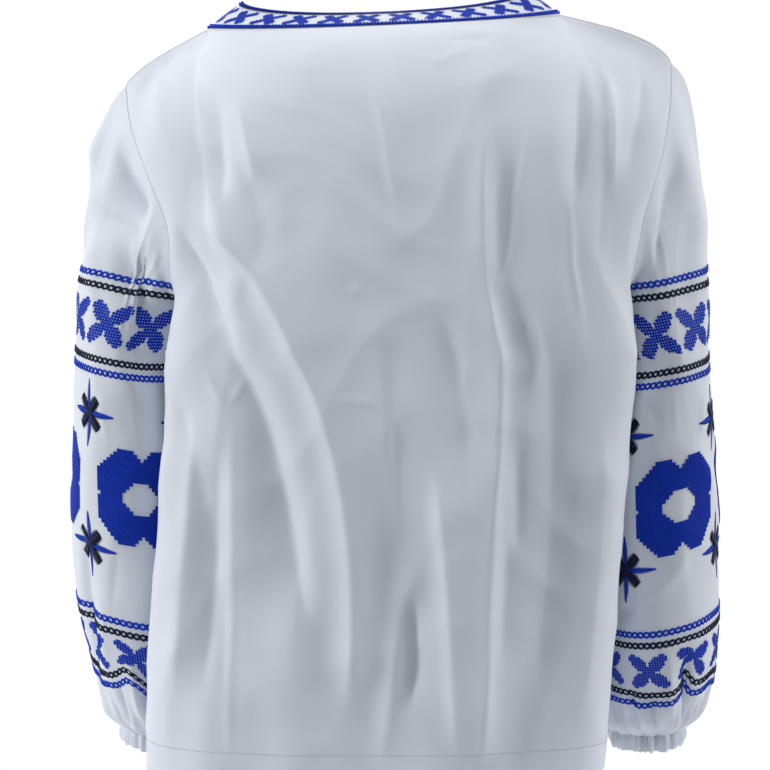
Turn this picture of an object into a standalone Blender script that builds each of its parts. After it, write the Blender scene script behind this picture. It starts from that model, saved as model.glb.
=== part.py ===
"""Embroidered blouse, worn shape with no wearer: seven pieces of cloth as they are cut and sewn.

Metres, +Z up. The front faces -Y and the wearer's left is +X. The origin is the middle of the
line between the two shoulder points, where a wearer carries it.
"""

import bmesh
import bpy
import numpy as np

WALL = 0.0012
SEAM_GAP = 0.0003

HEM_HEIGHT = -0.550
HEM_SIDE_RISE = 0.008
UNDERARM_HEIGHT = -0.230
SHOULDER_HALF = 0.2200
SHOULDER_SWELL = {1.0: 0.006, -1.0: 0.010}
SWELL_OUTWARD = 0.55
SHOULDER_TILT = 0.042
TILT_FADES_AT = -0.200

NECK_SHIFT = 0.012
NECK_HALF = 0.1420
NECK_SIDE_HEIGHT = 0.0450
NECK_SIDE_DEPTH = -0.008
NECK_BACK_HEIGHT = 0.0300
NECK_BACK_DEPTH = 0.0640
NECK_FRONT_HEIGHT = -0.0560
NECK_FRONT_DEPTH = -0.1050
NECK_ROUNDNESS = 2.3
NECK_BACK_DIP = 1.2
NECK_FRONT_DIP = 1.8

MOUTH_HALF = 0.1130
MOUTH_SIDE_HEIGHT = 0.0660
MOUTH_SIDE_DEPTH = -0.008
MOUTH_BACK_HEIGHT = 0.0455
MOUTH_BACK_DEPTH = 0.0310
MOUTH_FRONT_HEIGHT = -0.0210
MOUTH_FRONT_DEPTH = -0.0960
BAND_SWELL = 0.0010

SHOULDER_COLUMNS = 6
NECK_COLUMNS = 16
UPPER_ROWS = 16
LOWER_ROWS = 9
BAND_ROWS = 3

SIDE_PULL = 0.40
CORNER_PULL = 0.75
MIDDLE_PULL = 0.62
UPRIGHT_PULL = 0.55
TOP_PULL = 0.25
ARMHOLE_REACH = 0.42
TANGENT_STEP = 0.020
FINER = 4
CURVE_POINTS = 60

# Trunk, a row per level: the panel's widest line and its side seam on both sides, how far
# behind the seam that widest line is, and the depths of the middle of the back and front.
TRUNK_COLUMNS = (
    "height", "left_edge", "right_edge", "left_seam", "right_seam", "edge_depth", "back", "front",
)
TRUNK_ROWS = np.array([
    (-0.555, 0.1985, -0.1600, 0.1560, -0.1490, 0.050, 0.124, -0.120),
    (-0.480, 0.1960, -0.1660, 0.1550, -0.1500, 0.054, 0.119, -0.117),
    (-0.400, 0.1920, -0.1715, 0.1545, -0.1510, 0.056, 0.115, -0.115),
    (-0.320, 0.1880, -0.1780, 0.1540, -0.1520, 0.056, 0.112, -0.115),
    (-0.230, 0.1840, -0.1860, 0.1540, -0.1540, 0.052, 0.111, -0.117),
    (-0.190, 0.1835, -0.1880, 0.1550, -0.1560, 0.050, 0.112, -0.118),
])
FRONT_EDGE_OUT = 0.002
FRONT_EDGE_DEPTH = 0.045

# Armhole, a row per point from the underarm up to the shoulder point; cut_in is the share of
# the panel's width that it takes from each side.
ARMHOLE_COLUMNS = ("left", "right", "back_depth", "front_in", "front_depth", "height", "cut_in")
ARMHOLE_ROWS = np.array([
    (0.1540, 0.1540, 0.000, 0.000, 0.000, -0.2300, 0.000),
    (0.1586, 0.1590, 0.014, 0.003, -0.015, -0.2160, 0.030),
    (0.1690, 0.1700, 0.029, 0.012, -0.032, -0.1960, 0.065),
    (0.1790, 0.1830, 0.048, 0.021, -0.050, -0.1660, 0.105),
    (0.1805, 0.1900, 0.060, 0.012, -0.059, -0.1250, 0.118),
    (0.1970, 0.2050, 0.053, 0.008, -0.053, -0.0790, 0.090),
    (0.2120, 0.2150, 0.032, 0.004, -0.032, -0.0370, 0.045),
    (0.2200, 0.2200, 0.000, 0.000, 0.000, 0.0000, 0.000),
])

# Sleeve, a row per ring below the armhole: its middle, half sizes and lean in degrees.
SLEEVE_COLUMNS = ("height", "out", "depth", "half_across", "half_deep", "lean_out", "lean_back")
LEFT_SLEEVE_ROWS = np.array([
    (-0.262, 0.2185, -0.020, 0.0455, 0.070, 9.0, 7.0),
    (-0.300, 0.2170, -0.023, 0.0485, 0.072, 10.0, 8.0),
    (-0.360, 0.2155, -0.028, 0.0515, 0.073, 11.0, 9.0),
    (-0.420, 0.2130, -0.033, 0.0510, 0.071, 12.0, 9.0),
    (-0.475, 0.2075, -0.038, 0.0455, 0.064, 12.0, 9.0),
    (-0.508, 0.2025, -0.041, 0.0415, 0.057, 9.0, 7.0),
    (-0.522, 0.2000, -0.042, 0.0375, 0.050, 7.0, 5.0),
    (-0.532, 0.1965, -0.043, 0.0285, 0.038, 4.0, 3.0),
])
RIGHT_SLEEVE_ROWS = np.array([
    (-0.262, 0.2095, -0.020, 0.0455, 0.070, 10.0, 7.0),
    (-0.300, 0.2095, -0.023, 0.0480, 0.072, 11.0, 8.0),
    (-0.360, 0.2110, -0.028, 0.0505, 0.073, 12.0, 9.0),
    (-0.420, 0.2125, -0.033, 0.0500, 0.071, 11.0, 9.0),
    (-0.475, 0.2130, -0.038, 0.0480, 0.064, 8.0, 9.0),
    (-0.508, 0.2095, -0.041, 0.0455, 0.057, 5.0, 7.0),
    (-0.522, 0.2080, -0.042, 0.0400, 0.050, 4.0, 5.0),
    (-0.532, 0.2050, -0.043, 0.0290, 0.038, 2.0, 3.0),
])
CAP_ROWS = 9
CAP_CROWDING = 1.6
CAP_START_PULL = 0.14
CAP_END_PULL = 0.30
UNDERARM_FLARE = 0.60
UNDERARM_PULL = 0.012
UNDERARM_SPARE = 0.0002
ARM_ROWS = 6
GATHER_ROWS = 5
GATHER_COUNT = 16
GATHER_DEPTH = 0.0026
GATHER_UNEVEN = 0.25
UNEVEN_WAVES = 5
GATHERS_START = -0.475

CUFF_HEIGHT = 0.0170
CUFF_ROWS = 2
CUFF_GATHER_DEPTH = 0.0010
POINTS_A_GATHER = 4

# Folds, a row per fold, on a panel laid out as share across (0 at the wearer's left seam)
# and height: where it starts and ends, its half width and how far it stands out.
# Columns: from share, from height, to share, to height, half width, rise.
BACK_FOLDS = np.array([
    (0.10, -0.060, 0.26, -0.230, 0.012, 0.0050),
    (0.22, -0.050, 0.24, -0.150, 0.014, -0.0040),
    (0.29, -0.200, 0.27, -0.560, 0.016, 0.0050),
    (0.38, -0.330, 0.40, -0.560, 0.020, 0.0060),
    (0.50, -0.120, 0.51, -0.560, 0.018, -0.0060),
    (0.60, -0.250, 0.60, -0.560, 0.020, 0.0060),
    (0.72, -0.300, 0.71, -0.560, 0.018, -0.0050),
    (0.70, -0.030, 0.66, -0.200, 0.016, -0.0040),
    (0.84, -0.250, 0.82, -0.560, 0.018, 0.0050),
])
FRONT_FOLDS = np.array([
    (0.24, -0.100, 0.27, -0.560, 0.018, 0.0050),
    (0.40, -0.150, 0.38, -0.560, 0.020, -0.0050),
    (0.52, -0.200, 0.53, -0.560, 0.022, 0.0060),
    (0.64, -0.160, 0.65, -0.560, 0.020, -0.0050),
    (0.78, -0.110, 0.75, -0.560, 0.018, 0.0050),
])
PANEL_WIDTH = 0.520
EDGE_FADE = 0.035
FOLD_FADE = 0.35

# Sleeve folds: turn is the share of the way round, 0 on top, 0.25 behind, 0.5 underarm.
# Columns: from turn, from down, to turn, to down, half width, rise.
SLEEVE_FOLDS = np.array([
    (0.02, 0.100, 0.24, 0.130, 0.014, 0.0050),
    (0.12, 0.160, 0.30, 0.210, 0.014, -0.0035),
    (0.08, 0.420, 0.16, 0.560, 0.014, -0.0060),
    (0.30, 0.430, 0.27, 0.560, 0.012, 0.0040),
    (0.70, 0.150, 0.86, 0.120, 0.016, 0.0040),
    (0.80, 0.400, 0.76, 0.560, 0.014, -0.0050),
])
SLEEVE_ROUND = 0.400

CLOTH_COLOR = (0.78, 0.83, 0.90, 1.0)
BAND_COLOR = (0.20, 0.30, 0.62, 1.0)
CUFF_COLOR = (0.72, 0.78, 0.88, 1.0)
CLOTH_ROUGHNESS = 0.85


def smooth_through(at, stations, values):
    """Values of a smooth curve through a table's rows, at the given places."""
    slopes = np.gradient(values, stations)
    at = np.clip(at, stations[0], stations[-1])
    index = np.clip(np.searchsorted(stations, at) - 1, 0, len(stations) - 2)
    span = stations[index + 1] - stations[index]
    part = (at - stations[index]) / span
    rise = values[index + 1] - values[index]
    blend = part * part * (3.0 - 2.0 * part)
    bend_in = part * (1.0 - part) ** 2 * slopes[index] * span
    bend_out = part * part * (1.0 - part) * slopes[index + 1] * span
    return values[index] + blend * rise + bend_in - bend_out


def unit(vectors):
    """Vectors made one long."""
    return vectors / np.maximum(np.linalg.norm(vectors, axis=-1, keepdims=True), 1e-12)


def ease(part):
    """A share from 0 to 1 with soft ends."""
    part = np.clip(part, 0.0, 1.0)
    return part * part * (3.0 - 2.0 * part)


def bezier(start, pull_start, pull_end, end, part):
    """Points of a cubic curve; part has one more axis than the control points."""
    rest = 1.0 - part
    return (rest ** 3 * start + 3.0 * rest ** 2 * part * pull_start
            + 3.0 * rest * part ** 2 * pull_end + part ** 3 * end)


def spread(points, shares):
    """Points at given shares of a curve's length."""
    steps = np.linalg.norm(np.diff(points, axis=0), axis=1)
    travelled = np.concatenate([[0.0], np.cumsum(steps)])
    wanted = np.asarray(shares) * travelled[-1]
    return np.stack([np.interp(wanted, travelled, points[:, axis]) for axis in range(3)], axis=1)


def trunk_value(name, height):
    """A trunk column's value at a height."""
    return smooth_through(height, TRUNK_ROWS[:, 0], TRUNK_ROWS[:, TRUNK_COLUMNS.index(name)])


def section(height, back, shares):
    """Level cut of the trunk's back or front, from the left seam to the right one."""
    part = np.linspace(0.0, 1.0, CURVE_POINTS)[:, None]
    halves = []
    middle_x = 0.5 * (trunk_value("left_edge", height) + trunk_value("right_edge", height))
    for side in ("left", "right"):
        seam_x = trunk_value(side + "_seam", height)
        outward = np.sign(seam_x)
        if back:
            edge_x = trunk_value(side + "_edge", height)
            edge_y = trunk_value("edge_depth", height)
            middle_y = trunk_value("back", height)
        else:
            edge_x = seam_x + outward * FRONT_EDGE_OUT
            edge_y = -FRONT_EDGE_DEPTH
            middle_y = trunk_value("front", height)
        seam = np.array([seam_x, 0.0])
        edge = np.array([edge_x, edge_y])
        middle = np.array([middle_x, middle_y])
        toward = np.array([0.0, edge_y])
        first = bezier(seam, seam + SIDE_PULL * toward, edge - SIDE_PULL * toward, edge, part)
        onward = np.array([0.0, CORNER_PULL * (middle_y - edge_y)])
        inward = np.array([MIDDLE_PULL * (edge_x - middle_x), 0.0])
        second = bezier(edge, edge + onward, middle + inward, middle, part)
        halves.append(np.concatenate([first, second[1:]]))
    outline = np.concatenate([halves[0], halves[1][::-1][1:]])
    level = np.full((len(outline), 1), height)
    return spread(np.concatenate([outline, level], axis=1), shares)


def neck_ring(back, share, mouth):
    """The neck's seam, or its open mouth, from the left shoulder to the right one."""
    half = MOUTH_HALF if mouth else NECK_HALF
    side_height = MOUTH_SIDE_HEIGHT if mouth else NECK_SIDE_HEIGHT
    side_depth = MOUTH_SIDE_DEPTH if mouth else NECK_SIDE_DEPTH
    if back:
        middle_height = MOUTH_BACK_HEIGHT if mouth else NECK_BACK_HEIGHT
        middle_depth = MOUTH_BACK_DEPTH if mouth else NECK_BACK_DEPTH
    else:
        middle_height = MOUTH_FRONT_HEIGHT if mouth else NECK_FRONT_HEIGHT
        middle_depth = MOUTH_FRONT_DEPTH if mouth else NECK_FRONT_DEPTH
    dip = NECK_BACK_DIP if back else NECK_FRONT_DIP
    turn = np.linspace(0.0, np.pi, 2 * CURVE_POINTS + 1)
    across = np.sign(np.cos(turn)) * np.abs(np.cos(turn)) ** (2.0 / NECK_ROUNDNESS)
    deep = np.sin(turn) ** (2.0 / NECK_ROUNDNESS)
    ring = np.stack([
        NECK_SHIFT + half * across,
        side_depth + (middle_depth - side_depth) * deep,
        side_height + (middle_height - side_height) * deep ** dip,
    ], axis=1)
    return spread(ring, share)


def shoulder_point(side):
    """The outer end of a shoulder seam."""
    return np.array([side * SHOULDER_HALF, 0.0, 0.0])


def panel_shares(count_shoulder, count_neck):
    """Shares across a panel, with a column on each end of the neck."""
    total = 2 * count_shoulder + count_neck
    return np.arange(total + 1) / total


def panel_top(back, count_shoulder, count_neck):
    """Shoulder seam, neck and shoulder seam, with the way the cloth runs up into them."""
    share = np.linspace(0.0, 1.0, count_neck + 1)
    neck = neck_ring(back, share, False)
    mouth = neck_ring(back, share, True)
    along = unit(np.gradient(neck, axis=0))
    rise = unit(mouth - neck)
    upward = unit(along[:, :1] * rise - rise[:, :1] * along)
    sign = -1.0 if back else 1.0
    upward *= np.sign(upward[:, 1:2] * sign + 1e-9)
    part = np.linspace(0.0, 1.0, count_shoulder + 1)[:-1, None]
    left = shoulder_point(1.0) * (1.0 - part) + neck[0] * part
    right = shoulder_point(-1.0) * (1.0 - part) + neck[-1] * part
    swell = np.sin(np.pi * part[:, 0] ** SWELL_OUTWARD)
    left[:, 2] += SHOULDER_SWELL[1.0] * swell
    right[:, 2] += SHOULDER_SWELL[-1.0] * swell
    level = np.array([0.0, sign, 0.0])
    over_left = level + part * (upward[0] - level)
    over_right = level + part * (upward[-1] - level)
    points = np.concatenate([left, neck, right[::-1]])
    return points, unit(np.concatenate([over_left, upward, over_right[::-1]]))


def armhole(side, back, shares):
    """Armhole edge of one panel from the underarm to the shoulder point, and its cut in."""
    stations = np.arange(len(ARMHOLE_ROWS), dtype=float)
    fine = np.linspace(0.0, stations[-1], 2 * CURVE_POINTS)

    def value(name):
        return smooth_through(fine, stations, ARMHOLE_ROWS[:, ARMHOLE_COLUMNS.index(name)])

    out = value("left" if side > 0 else "right")
    depth = value("back_depth") if back else value("front_depth")
    if not back:
        out = out - value("front_in")
    edge = np.stack([side * out, depth, value("height")], axis=1)
    travelled = np.cumsum(np.linalg.norm(np.diff(edge, axis=0, prepend=edge[:1]), axis=1))
    return spread(edge, shares), np.interp(shares, travelled / travelled[-1], value("cut_in"))


def trunk_sheet(back, count_shoulder, count_neck, rows):
    """The whole back or front above the underarm, before the armholes are cut out of it."""
    top, upward = panel_top(back, count_shoulder, count_neck)
    shares = panel_shares(count_shoulder, count_neck)
    base = section(UNDERARM_HEIGHT, back, shares)
    below = section(UNDERARM_HEIGHT - TANGENT_STEP, back, shares)
    tall = top[:, 2:3] - base[:, 2:3]
    pull_start = base + UPRIGHT_PULL * tall * unit(base - below)
    pull_end = top - TOP_PULL * tall * upward
    part = np.linspace(0.0, 1.0, CURVE_POINTS)[:, None, None]
    columns = bezier(base, pull_start, pull_end, top, part)
    return np.stack([spread(columns[:, i], rows) for i in range(len(shares))], axis=1), shares


def panel_grid(back, count_shoulder, count_neck, count_upper, count_lower):
    """Back or front panel as rows of points, from the hem to the shoulders and neck."""
    across = panel_shares(count_shoulder, count_neck)
    heights = np.linspace(HEM_HEIGHT, UNDERARM_HEIGHT, count_lower + 1)
    lower = np.stack([section(height, back, across) for height in heights])
    hem_fade = ease((UNDERARM_HEIGHT - heights) / (UNDERARM_HEIGHT - HEM_HEIGHT))[:, None]
    lower[..., 2] += HEM_SIDE_RISE * hem_fade * np.abs(2.0 * across - 1.0) ** 3
    rows = np.linspace(0.0, 1.0, count_upper + 1)
    sheet, places = trunk_sheet(back, FINER * count_shoulder, FINER * count_neck, rows)
    left_edge, left_cut = armhole(1.0, back, rows)
    right_edge, right_cut = armhole(-1.0, back, rows)
    upper = []
    for k in range(count_upper + 1):
        wanted = left_cut[k] + (1.0 - left_cut[k] - right_cut[k]) * across
        row = np.stack([np.interp(wanted, places, sheet[k, :, axis]) for axis in range(3)], axis=1)
        left_hold = ease(1.0 - across / ARMHOLE_REACH)[:, None]
        right_hold = ease(1.0 - (1.0 - across) / ARMHOLE_REACH)[:, None]
        shift = left_hold * (left_edge[k] - row[0]) + right_hold * (right_edge[k] - row[-1])
        upper.append(row + shift)
    return np.concatenate([lower, np.array(upper)[1:]]), across


def grid_normals(grid, closed):
    """Outward directions at a grid's points; closed joins the last column to the first."""
    if closed:
        along = np.roll(grid, -1, axis=1) - np.roll(grid, 1, axis=1)
    else:
        along = np.gradient(grid, axis=1)
    up = np.gradient(grid, axis=0)
    return unit(np.cross(up, along))


def fold_rise(across, heights, folds, width):
    """How far a table of folds lifts the cloth at each share across and height."""
    total = np.zeros(np.broadcast(across, heights).shape)
    for from_share, from_height, to_share, to_height, half_width, rise in folds:
        start = np.array([from_share * width, from_height])
        run = np.array([to_share * width, to_height]) - start
        length = np.hypot(*run)
        away_x = across * width - start[0]
        away_z = heights - start[1]
        along = (away_x * run[0] + away_z * run[1]) / length ** 2
        aside = (away_x * run[1] - away_z * run[0]) / length
        fade = ease(along / FOLD_FADE) * ease((1.0 + FOLD_FADE - along) / FOLD_FADE)
        total += rise * fade * np.exp(-(aside / half_width) ** 2)
    return total


def seam_side(edge, normals, inner, closed=False):
    """Directions in the cloth, square to a seam, toward the inner points."""
    if closed:
        along = np.roll(edge, -1, axis=0) - np.roll(edge, 1, axis=0)
    else:
        along = np.gradient(edge, axis=0)
    square = unit(np.cross(unit(along), normals))
    return square * np.sign(np.sum(square * (inner - edge)))


def settled(points):
    """The right shoulder held a little higher, fading out down the trunk."""
    fade = ease(1.0 - points[..., 2] / TILT_FADES_AT)
    moved = points.copy()
    moved[..., 2] -= SHOULDER_TILT * points[..., 0] * fade
    return moved


def make_panel(back):
    """Surface and outward directions of a panel, folded."""
    grid, across = panel_grid(back, SHOULDER_COLUMNS, NECK_COLUMNS, UPPER_ROWS, LOWER_ROWS)
    normals = grid_normals(grid, False) * (-1.0 if back else 1.0)
    folds = BACK_FOLDS if back else FRONT_FOLDS
    rise = fold_rise(across[None, :], grid[..., 2], folds, PANEL_WIDTH)
    edge = np.minimum(across, 1.0 - across)[None, :] * PANEL_WIDTH
    up = np.linalg.norm(grid - grid[-1], axis=2)
    rise *= ease(edge / EDGE_FADE) * ease(up / EDGE_FADE)
    return grid + normals * rise[..., None], normals


def joined_normals(first, second):
    """One shared direction for the two sides of a seam."""
    return unit(first + second)


def add_material(item, color):
    """A plain cloth material of the piece's own."""
    material = bpy.data.materials.new(item.name + "_cloth")
    material.use_nodes = True
    shader = material.node_tree.nodes["Principled BSDF"]
    shader.inputs["Base Color"].default_value = color
    shader.inputs["Roughness"].default_value = CLOTH_ROUGHNESS
    item.data.materials.append(material)


def finish_piece(name, shape, color):
    """Makes the named object from a finished mesh, shaded smooth."""
    bmesh.ops.recalc_face_normals(shape, faces=shape.faces)
    for face in shape.faces:
        face.smooth = True
    mesh = bpy.data.meshes.new(name)
    shape.to_mesh(mesh)
    shape.free()
    item = bpy.data.objects.new(name, mesh)
    bpy.context.scene.collection.objects.link(item)
    add_material(item, color)


def skin_rings(shape, rings, closed):
    """Faces between rows of vertices; a row may have twice the points of the row before."""
    for near, far in zip(rings[:-1], rings[1:]):
        last = len(near) if closed else len(near) - 1
        for i in range(last):
            j = (i + 1) % len(near)
            if len(far) == len(near):
                shape.faces.new((near[i], near[j], far[j], far[i]))
            else:
                middle = far[2 * i + 1]
                shape.faces.new((near[i], middle, far[2 * i]))
                shape.faces.new((near[i], near[j], middle))
                shape.faces.new((near[j], far[(2 * i + 2) % len(far)], middle))


def wall_piece(name, rows, normals, closed, color):
    """A closed cloth wall from its outer rows of points and their directions."""
    shape = bmesh.new()
    outer = []
    inner = []
    for points, directions in zip(rows, normals):
        outer.append([shape.verts.new(point) for point in settled(points)])
        inner.append([shape.verts.new(point) for point in settled(points - WALL * directions)])
    skin_rings(shape, outer, closed)
    skin_rings(shape, inner, closed)
    for k in (0, -1):
        skin_rings(shape, [outer[k], inner[k]], closed)
    if not closed:
        for k in (0, -1):
            skin_rings(shape, [[row[k] for row in outer], [row[k] for row in inner]], False)
    finish_piece(name, shape, color)


def build_panels():
    """Back and front, with the seams between them 0.3 mm open."""
    back, back_normals = make_panel(True)
    front, front_normals = make_panel(False)
    for column in (0, -1):
        shared = joined_normals(back_normals[:, column], front_normals[:, column])
        lower = LOWER_ROWS + 1
        for normals in (back_normals, front_normals):
            normals[:lower, column] = shared[:lower]
            normals[lower, column] = unit(normals[lower - 1, column] + normals[lower + 1, column])
    shoulders = list(range(SHOULDER_COLUMNS + 1))
    shoulders += [-1 - column for column in shoulders]
    shared = joined_normals(back_normals[-1, shoulders], front_normals[-1, shoulders])
    back_normals[-1, shoulders] = shared
    front_normals[-1, shoulders] = shared
    for normals in (back_normals, front_normals):
        for column in (SHOULDER_COLUMNS + 1, SHOULDER_COLUMNS + NECK_COLUMNS - 1):
            normals[-1, column] = unit(normals[-1, column - 1] + normals[-1, column + 1])
    sheets = {"back": (back, back_normals), "front": (front, front_normals)}
    for name, (grid, normals) in sheets.items():
        cut = grid.copy()
        for column, inner in ((0, 1), (-1, -2)):
            cut[:, column] += 0.5 * SEAM_GAP * seam_side(
                grid[:, column], normals[:, column], grid[:, inner])
        cut[-1] += 0.5 * SEAM_GAP * seam_side(grid[-1], normals[-1], grid[-2])
        wall_piece(name + "_panel", cut, normals, False, CLOTH_COLOR)
    return sheets


def build_band(sheets):
    """Neck trim: a ring from the panels' neck seam up to the open mouth."""
    share = np.linspace(0.0, 1.0, NECK_COLUMNS + 1)
    neck_columns = slice(SHOULDER_COLUMNS, SHOULDER_COLUMNS + NECK_COLUMNS + 1)
    seams = []
    mouths = []
    directions = []
    for name, step in (("back", 1), ("front", -1)):
        grid, normals = sheets[name]
        seams.append(grid[-1, neck_columns][::step][:-1])
        directions.append(normals[-1, neck_columns][::step][:-1])
        mouths.append(neck_ring(name == "back", share, True)[::step][:-1])
    seam = np.concatenate(seams)
    mouth = np.concatenate(mouths)
    seam_normals = np.concatenate(directions)
    parts = np.linspace(0.0, 1.0, BAND_ROWS + 1)[:, None, None]
    grid = seam + parts * (mouth - seam)
    own = grid_normals(grid, True)
    own *= np.sign(np.sum(own[0] * seam_normals))
    grid = grid + own * BAND_SWELL * np.sin(np.pi * parts)
    own[0] = seam_normals
    grid[0] += 0.5 * SEAM_GAP * seam_side(seam, seam_normals, grid[1], True)
    wall_piece("neck_band", grid, own, True, BAND_COLOR)


def sleeve_ring(rows, side, height, turns):
    """One ring of the sleeve below the armhole, from its table."""
    def value(name):
        return smooth_through(height, rows[::-1, 0], rows[::-1, SLEEVE_COLUMNS.index(name)])

    angle = 2.0 * np.pi * turns
    out = value("half_across") * np.cos(angle)
    deep = value("half_deep") * np.sin(angle)
    lean_out = np.tan(np.radians(value("lean_out")))
    lean_back = np.tan(np.radians(value("lean_back")))
    return np.stack([
        side * (value("out") + out),
        value("depth") + deep,
        height + lean_out * out - lean_back * deep,
    ], axis=1)


def armhole_ring(sheets, side):
    """Armhole points and directions: up the front, over the shoulder and down the back."""
    column = 0 if side > 0 else -1
    back, back_normals = sheets["back"]
    front, front_normals = sheets["front"]
    back_edge = back[LOWER_ROWS:, column][::-1]
    front_edge = front[LOWER_ROWS:, column]
    ring = np.concatenate([back_edge[:-1], front_edge[:-1]])
    normals = np.concatenate([
        back_normals[LOWER_ROWS:, column][::-1][:-1],
        front_normals[LOWER_ROWS:, column][:-1],
    ])
    return ring, normals


def build_sleeve(sheets, side, name, rows):
    """A sleeve from the armhole ring down to its gathered end."""
    ring, ring_normals = armhole_ring(sheets, side)
    count = len(ring)
    turns = np.arange(count) / count
    along = unit(np.roll(ring, -1, axis=0) - np.roll(ring, 1, axis=0))
    square = unit(np.cross(along, ring_normals)) * side
    low = np.sin(np.pi * turns)[:, None] ** 2
    leave = unit(square + UNDERARM_FLARE * low * (ring_normals - square))
    first = sleeve_ring(rows, side, rows[0, 0], turns)
    second = sleeve_ring(rows, side, rows[0, 0] - 0.01, turns)
    chord = np.linalg.norm(first - ring, axis=1, keepdims=True)
    start = ring + (CAP_START_PULL * chord + UNDERARM_PULL * low) * leave
    end = first - CAP_END_PULL * chord * unit(second - first)
    parts = (np.arange(CAP_ROWS) / CAP_ROWS)[:, None, None] ** CAP_CROWDING
    cap = bezier(ring, start, end, first, parts)
    heights = np.linspace(rows[0, 0], GATHERS_START, ARM_ROWS + 1)
    arm = np.stack([sleeve_ring(rows, side, height, turns) for height in heights])
    coarse = np.concatenate([cap, arm])
    wide_turns = np.arange(2 * count) / (2 * count)
    low_heights = np.linspace(GATHERS_START, rows[-1, 0], GATHER_ROWS + 1)[1:]
    fine = np.stack([sleeve_ring(rows, side, height, wide_turns) for height in low_heights])
    coarse_normals = grid_normals(coarse, True) * side
    fine_normals = grid_normals(fine, True) * side
    down = np.cumsum(np.linalg.norm(np.diff(coarse, axis=0), axis=2), axis=0).mean(axis=1)
    coarse_down = np.concatenate([[0.0], down])
    fine_down = coarse_down[-1] + (GATHERS_START - low_heights)
    coarse_rise = sleeve_rise(turns, coarse_down)
    coarse_rise *= ease(coarse_down / EDGE_FADE)[:, None]
    fine_rise = sleeve_rise(wide_turns, fine_down)
    grow = ease((GATHERS_START - low_heights) / (GATHERS_START - rows[-1, 0]))[:, None]
    wave = np.cos(2.0 * np.pi * GATHER_COUNT * wide_turns)
    uneven = 1.0 - GATHER_UNEVEN * (1.0 - np.cos(2.0 * np.pi * UNEVEN_WAVES * wide_turns))
    fine_rise += GATHER_DEPTH * grow * wave * uneven
    fine_normals[..., 2] *= 1.0 - grow
    fine_normals = unit(fine_normals)
    coarse = coarse + coarse_normals * coarse_rise[..., None]
    fine = fine + fine_normals * fine_rise[..., None]
    coarse_normals[0] = ring_normals
    all_rows = list(coarse) + list(fine)
    all_normals = list(coarse_normals) + list(fine_normals)
    all_rows[0] = all_rows[0] + (0.5 * SEAM_GAP + UNDERARM_SPARE * low) * square
    wall_piece(name, all_rows, all_normals, True, CLOTH_COLOR)


def sleeve_rise(turns, down):
    """How far the sleeve's folds lift it, a row per ring."""
    return fold_rise(turns[None, :], down[:, None], SLEEVE_FOLDS, SLEEVE_ROUND)


def build_cuff(name, side, rows):
    """Narrow gathered wrist casing below a sleeve's end."""
    count = GATHER_COUNT * POINTS_A_GATHER
    turns = np.arange(count) / count
    end = rows[-1, 0]
    base = sleeve_ring(rows, side, end, turns)
    wave = np.cos(2.0 * np.pi * GATHER_COUNT * turns)
    middle = base.mean(axis=0)
    outward = unit((base - middle) * np.array([1.0, 1.0, 0.0]))
    drops = np.linspace(SEAM_GAP, CUFF_HEIGHT, CUFF_ROWS + 1)
    grid = np.stack([base - np.array([0.0, 0.0, drop]) for drop in drops])
    normals = np.tile(outward, (CUFF_ROWS + 1, 1, 1))
    rise = CUFF_GATHER_DEPTH * wave
    grid = grid + normals * rise[None, :, None]
    wall_piece(name, grid, normals, True, CUFF_COLOR)


def main():
    for item in list(bpy.data.objects):
        bpy.data.objects.remove(item, do_unlink=True)
    sheets = build_panels()
    build_band(sheets)
    build_sleeve(sheets, 1.0, "sleeve_left", LEFT_SLEEVE_ROWS)
    build_sleeve(sheets, -1.0, "sleeve_right", RIGHT_SLEEVE_ROWS)
    build_cuff("cuff_left", 1.0, LEFT_SLEEVE_ROWS)
    build_cuff("cuff_right", -1.0, RIGHT_SLEEVE_ROWS)


main()
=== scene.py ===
import math

import bmesh
import bpy
import numpy as np
from mathutils import Matrix, Vector


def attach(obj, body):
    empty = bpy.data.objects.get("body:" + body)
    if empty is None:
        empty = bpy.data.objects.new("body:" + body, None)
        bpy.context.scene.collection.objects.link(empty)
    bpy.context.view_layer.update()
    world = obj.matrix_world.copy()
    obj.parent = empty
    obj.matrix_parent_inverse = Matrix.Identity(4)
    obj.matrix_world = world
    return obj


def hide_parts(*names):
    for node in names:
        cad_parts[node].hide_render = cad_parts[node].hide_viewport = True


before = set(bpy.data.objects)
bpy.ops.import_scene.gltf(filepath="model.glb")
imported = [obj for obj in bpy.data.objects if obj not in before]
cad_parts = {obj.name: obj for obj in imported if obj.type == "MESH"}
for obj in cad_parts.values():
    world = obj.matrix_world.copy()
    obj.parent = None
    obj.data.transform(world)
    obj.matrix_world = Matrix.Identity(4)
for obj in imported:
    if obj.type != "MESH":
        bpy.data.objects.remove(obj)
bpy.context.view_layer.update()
print("frame loaded:", sorted(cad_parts))

# how fine the cloth is laid out: points for each point of the CAD solids
finer = {"across": 7, "upper": 6, "lower": 12, "cap": 5, "arm": 7, "gather": 8}
# points along the curves that it is drawn from
curvePoints = {"section": 60, "column": 60, "neck": 181, "armhole": 200}
clothThick = 0.0007


# a smooth curve through the values that a table gives at its stations
def smoothThrough(at, stations, values):
    slopes = np.gradient(values, stations)
    at = np.clip(at, stations[0], stations[-1])
    index = np.clip(np.searchsorted(stations, at) - 1, 0, len(stations) - 2)
    span = stations[index + 1] - stations[index]
    part = (at - stations[index]) / span
    rise = values[index + 1] - values[index]
    blend = part * part * (3.0 - 2.0 * part)
    bendIn = part * (1.0 - part) ** 2 * slopes[index] * span
    bendOut = part * part * (1.0 - part) * slopes[index + 1] * span
    return values[index] + blend * rise + bendIn - bendOut


def unit(vectors):
    return vectors / np.maximum(np.linalg.norm(vectors, axis=-1, keepdims=True), 1e-12)


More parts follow.
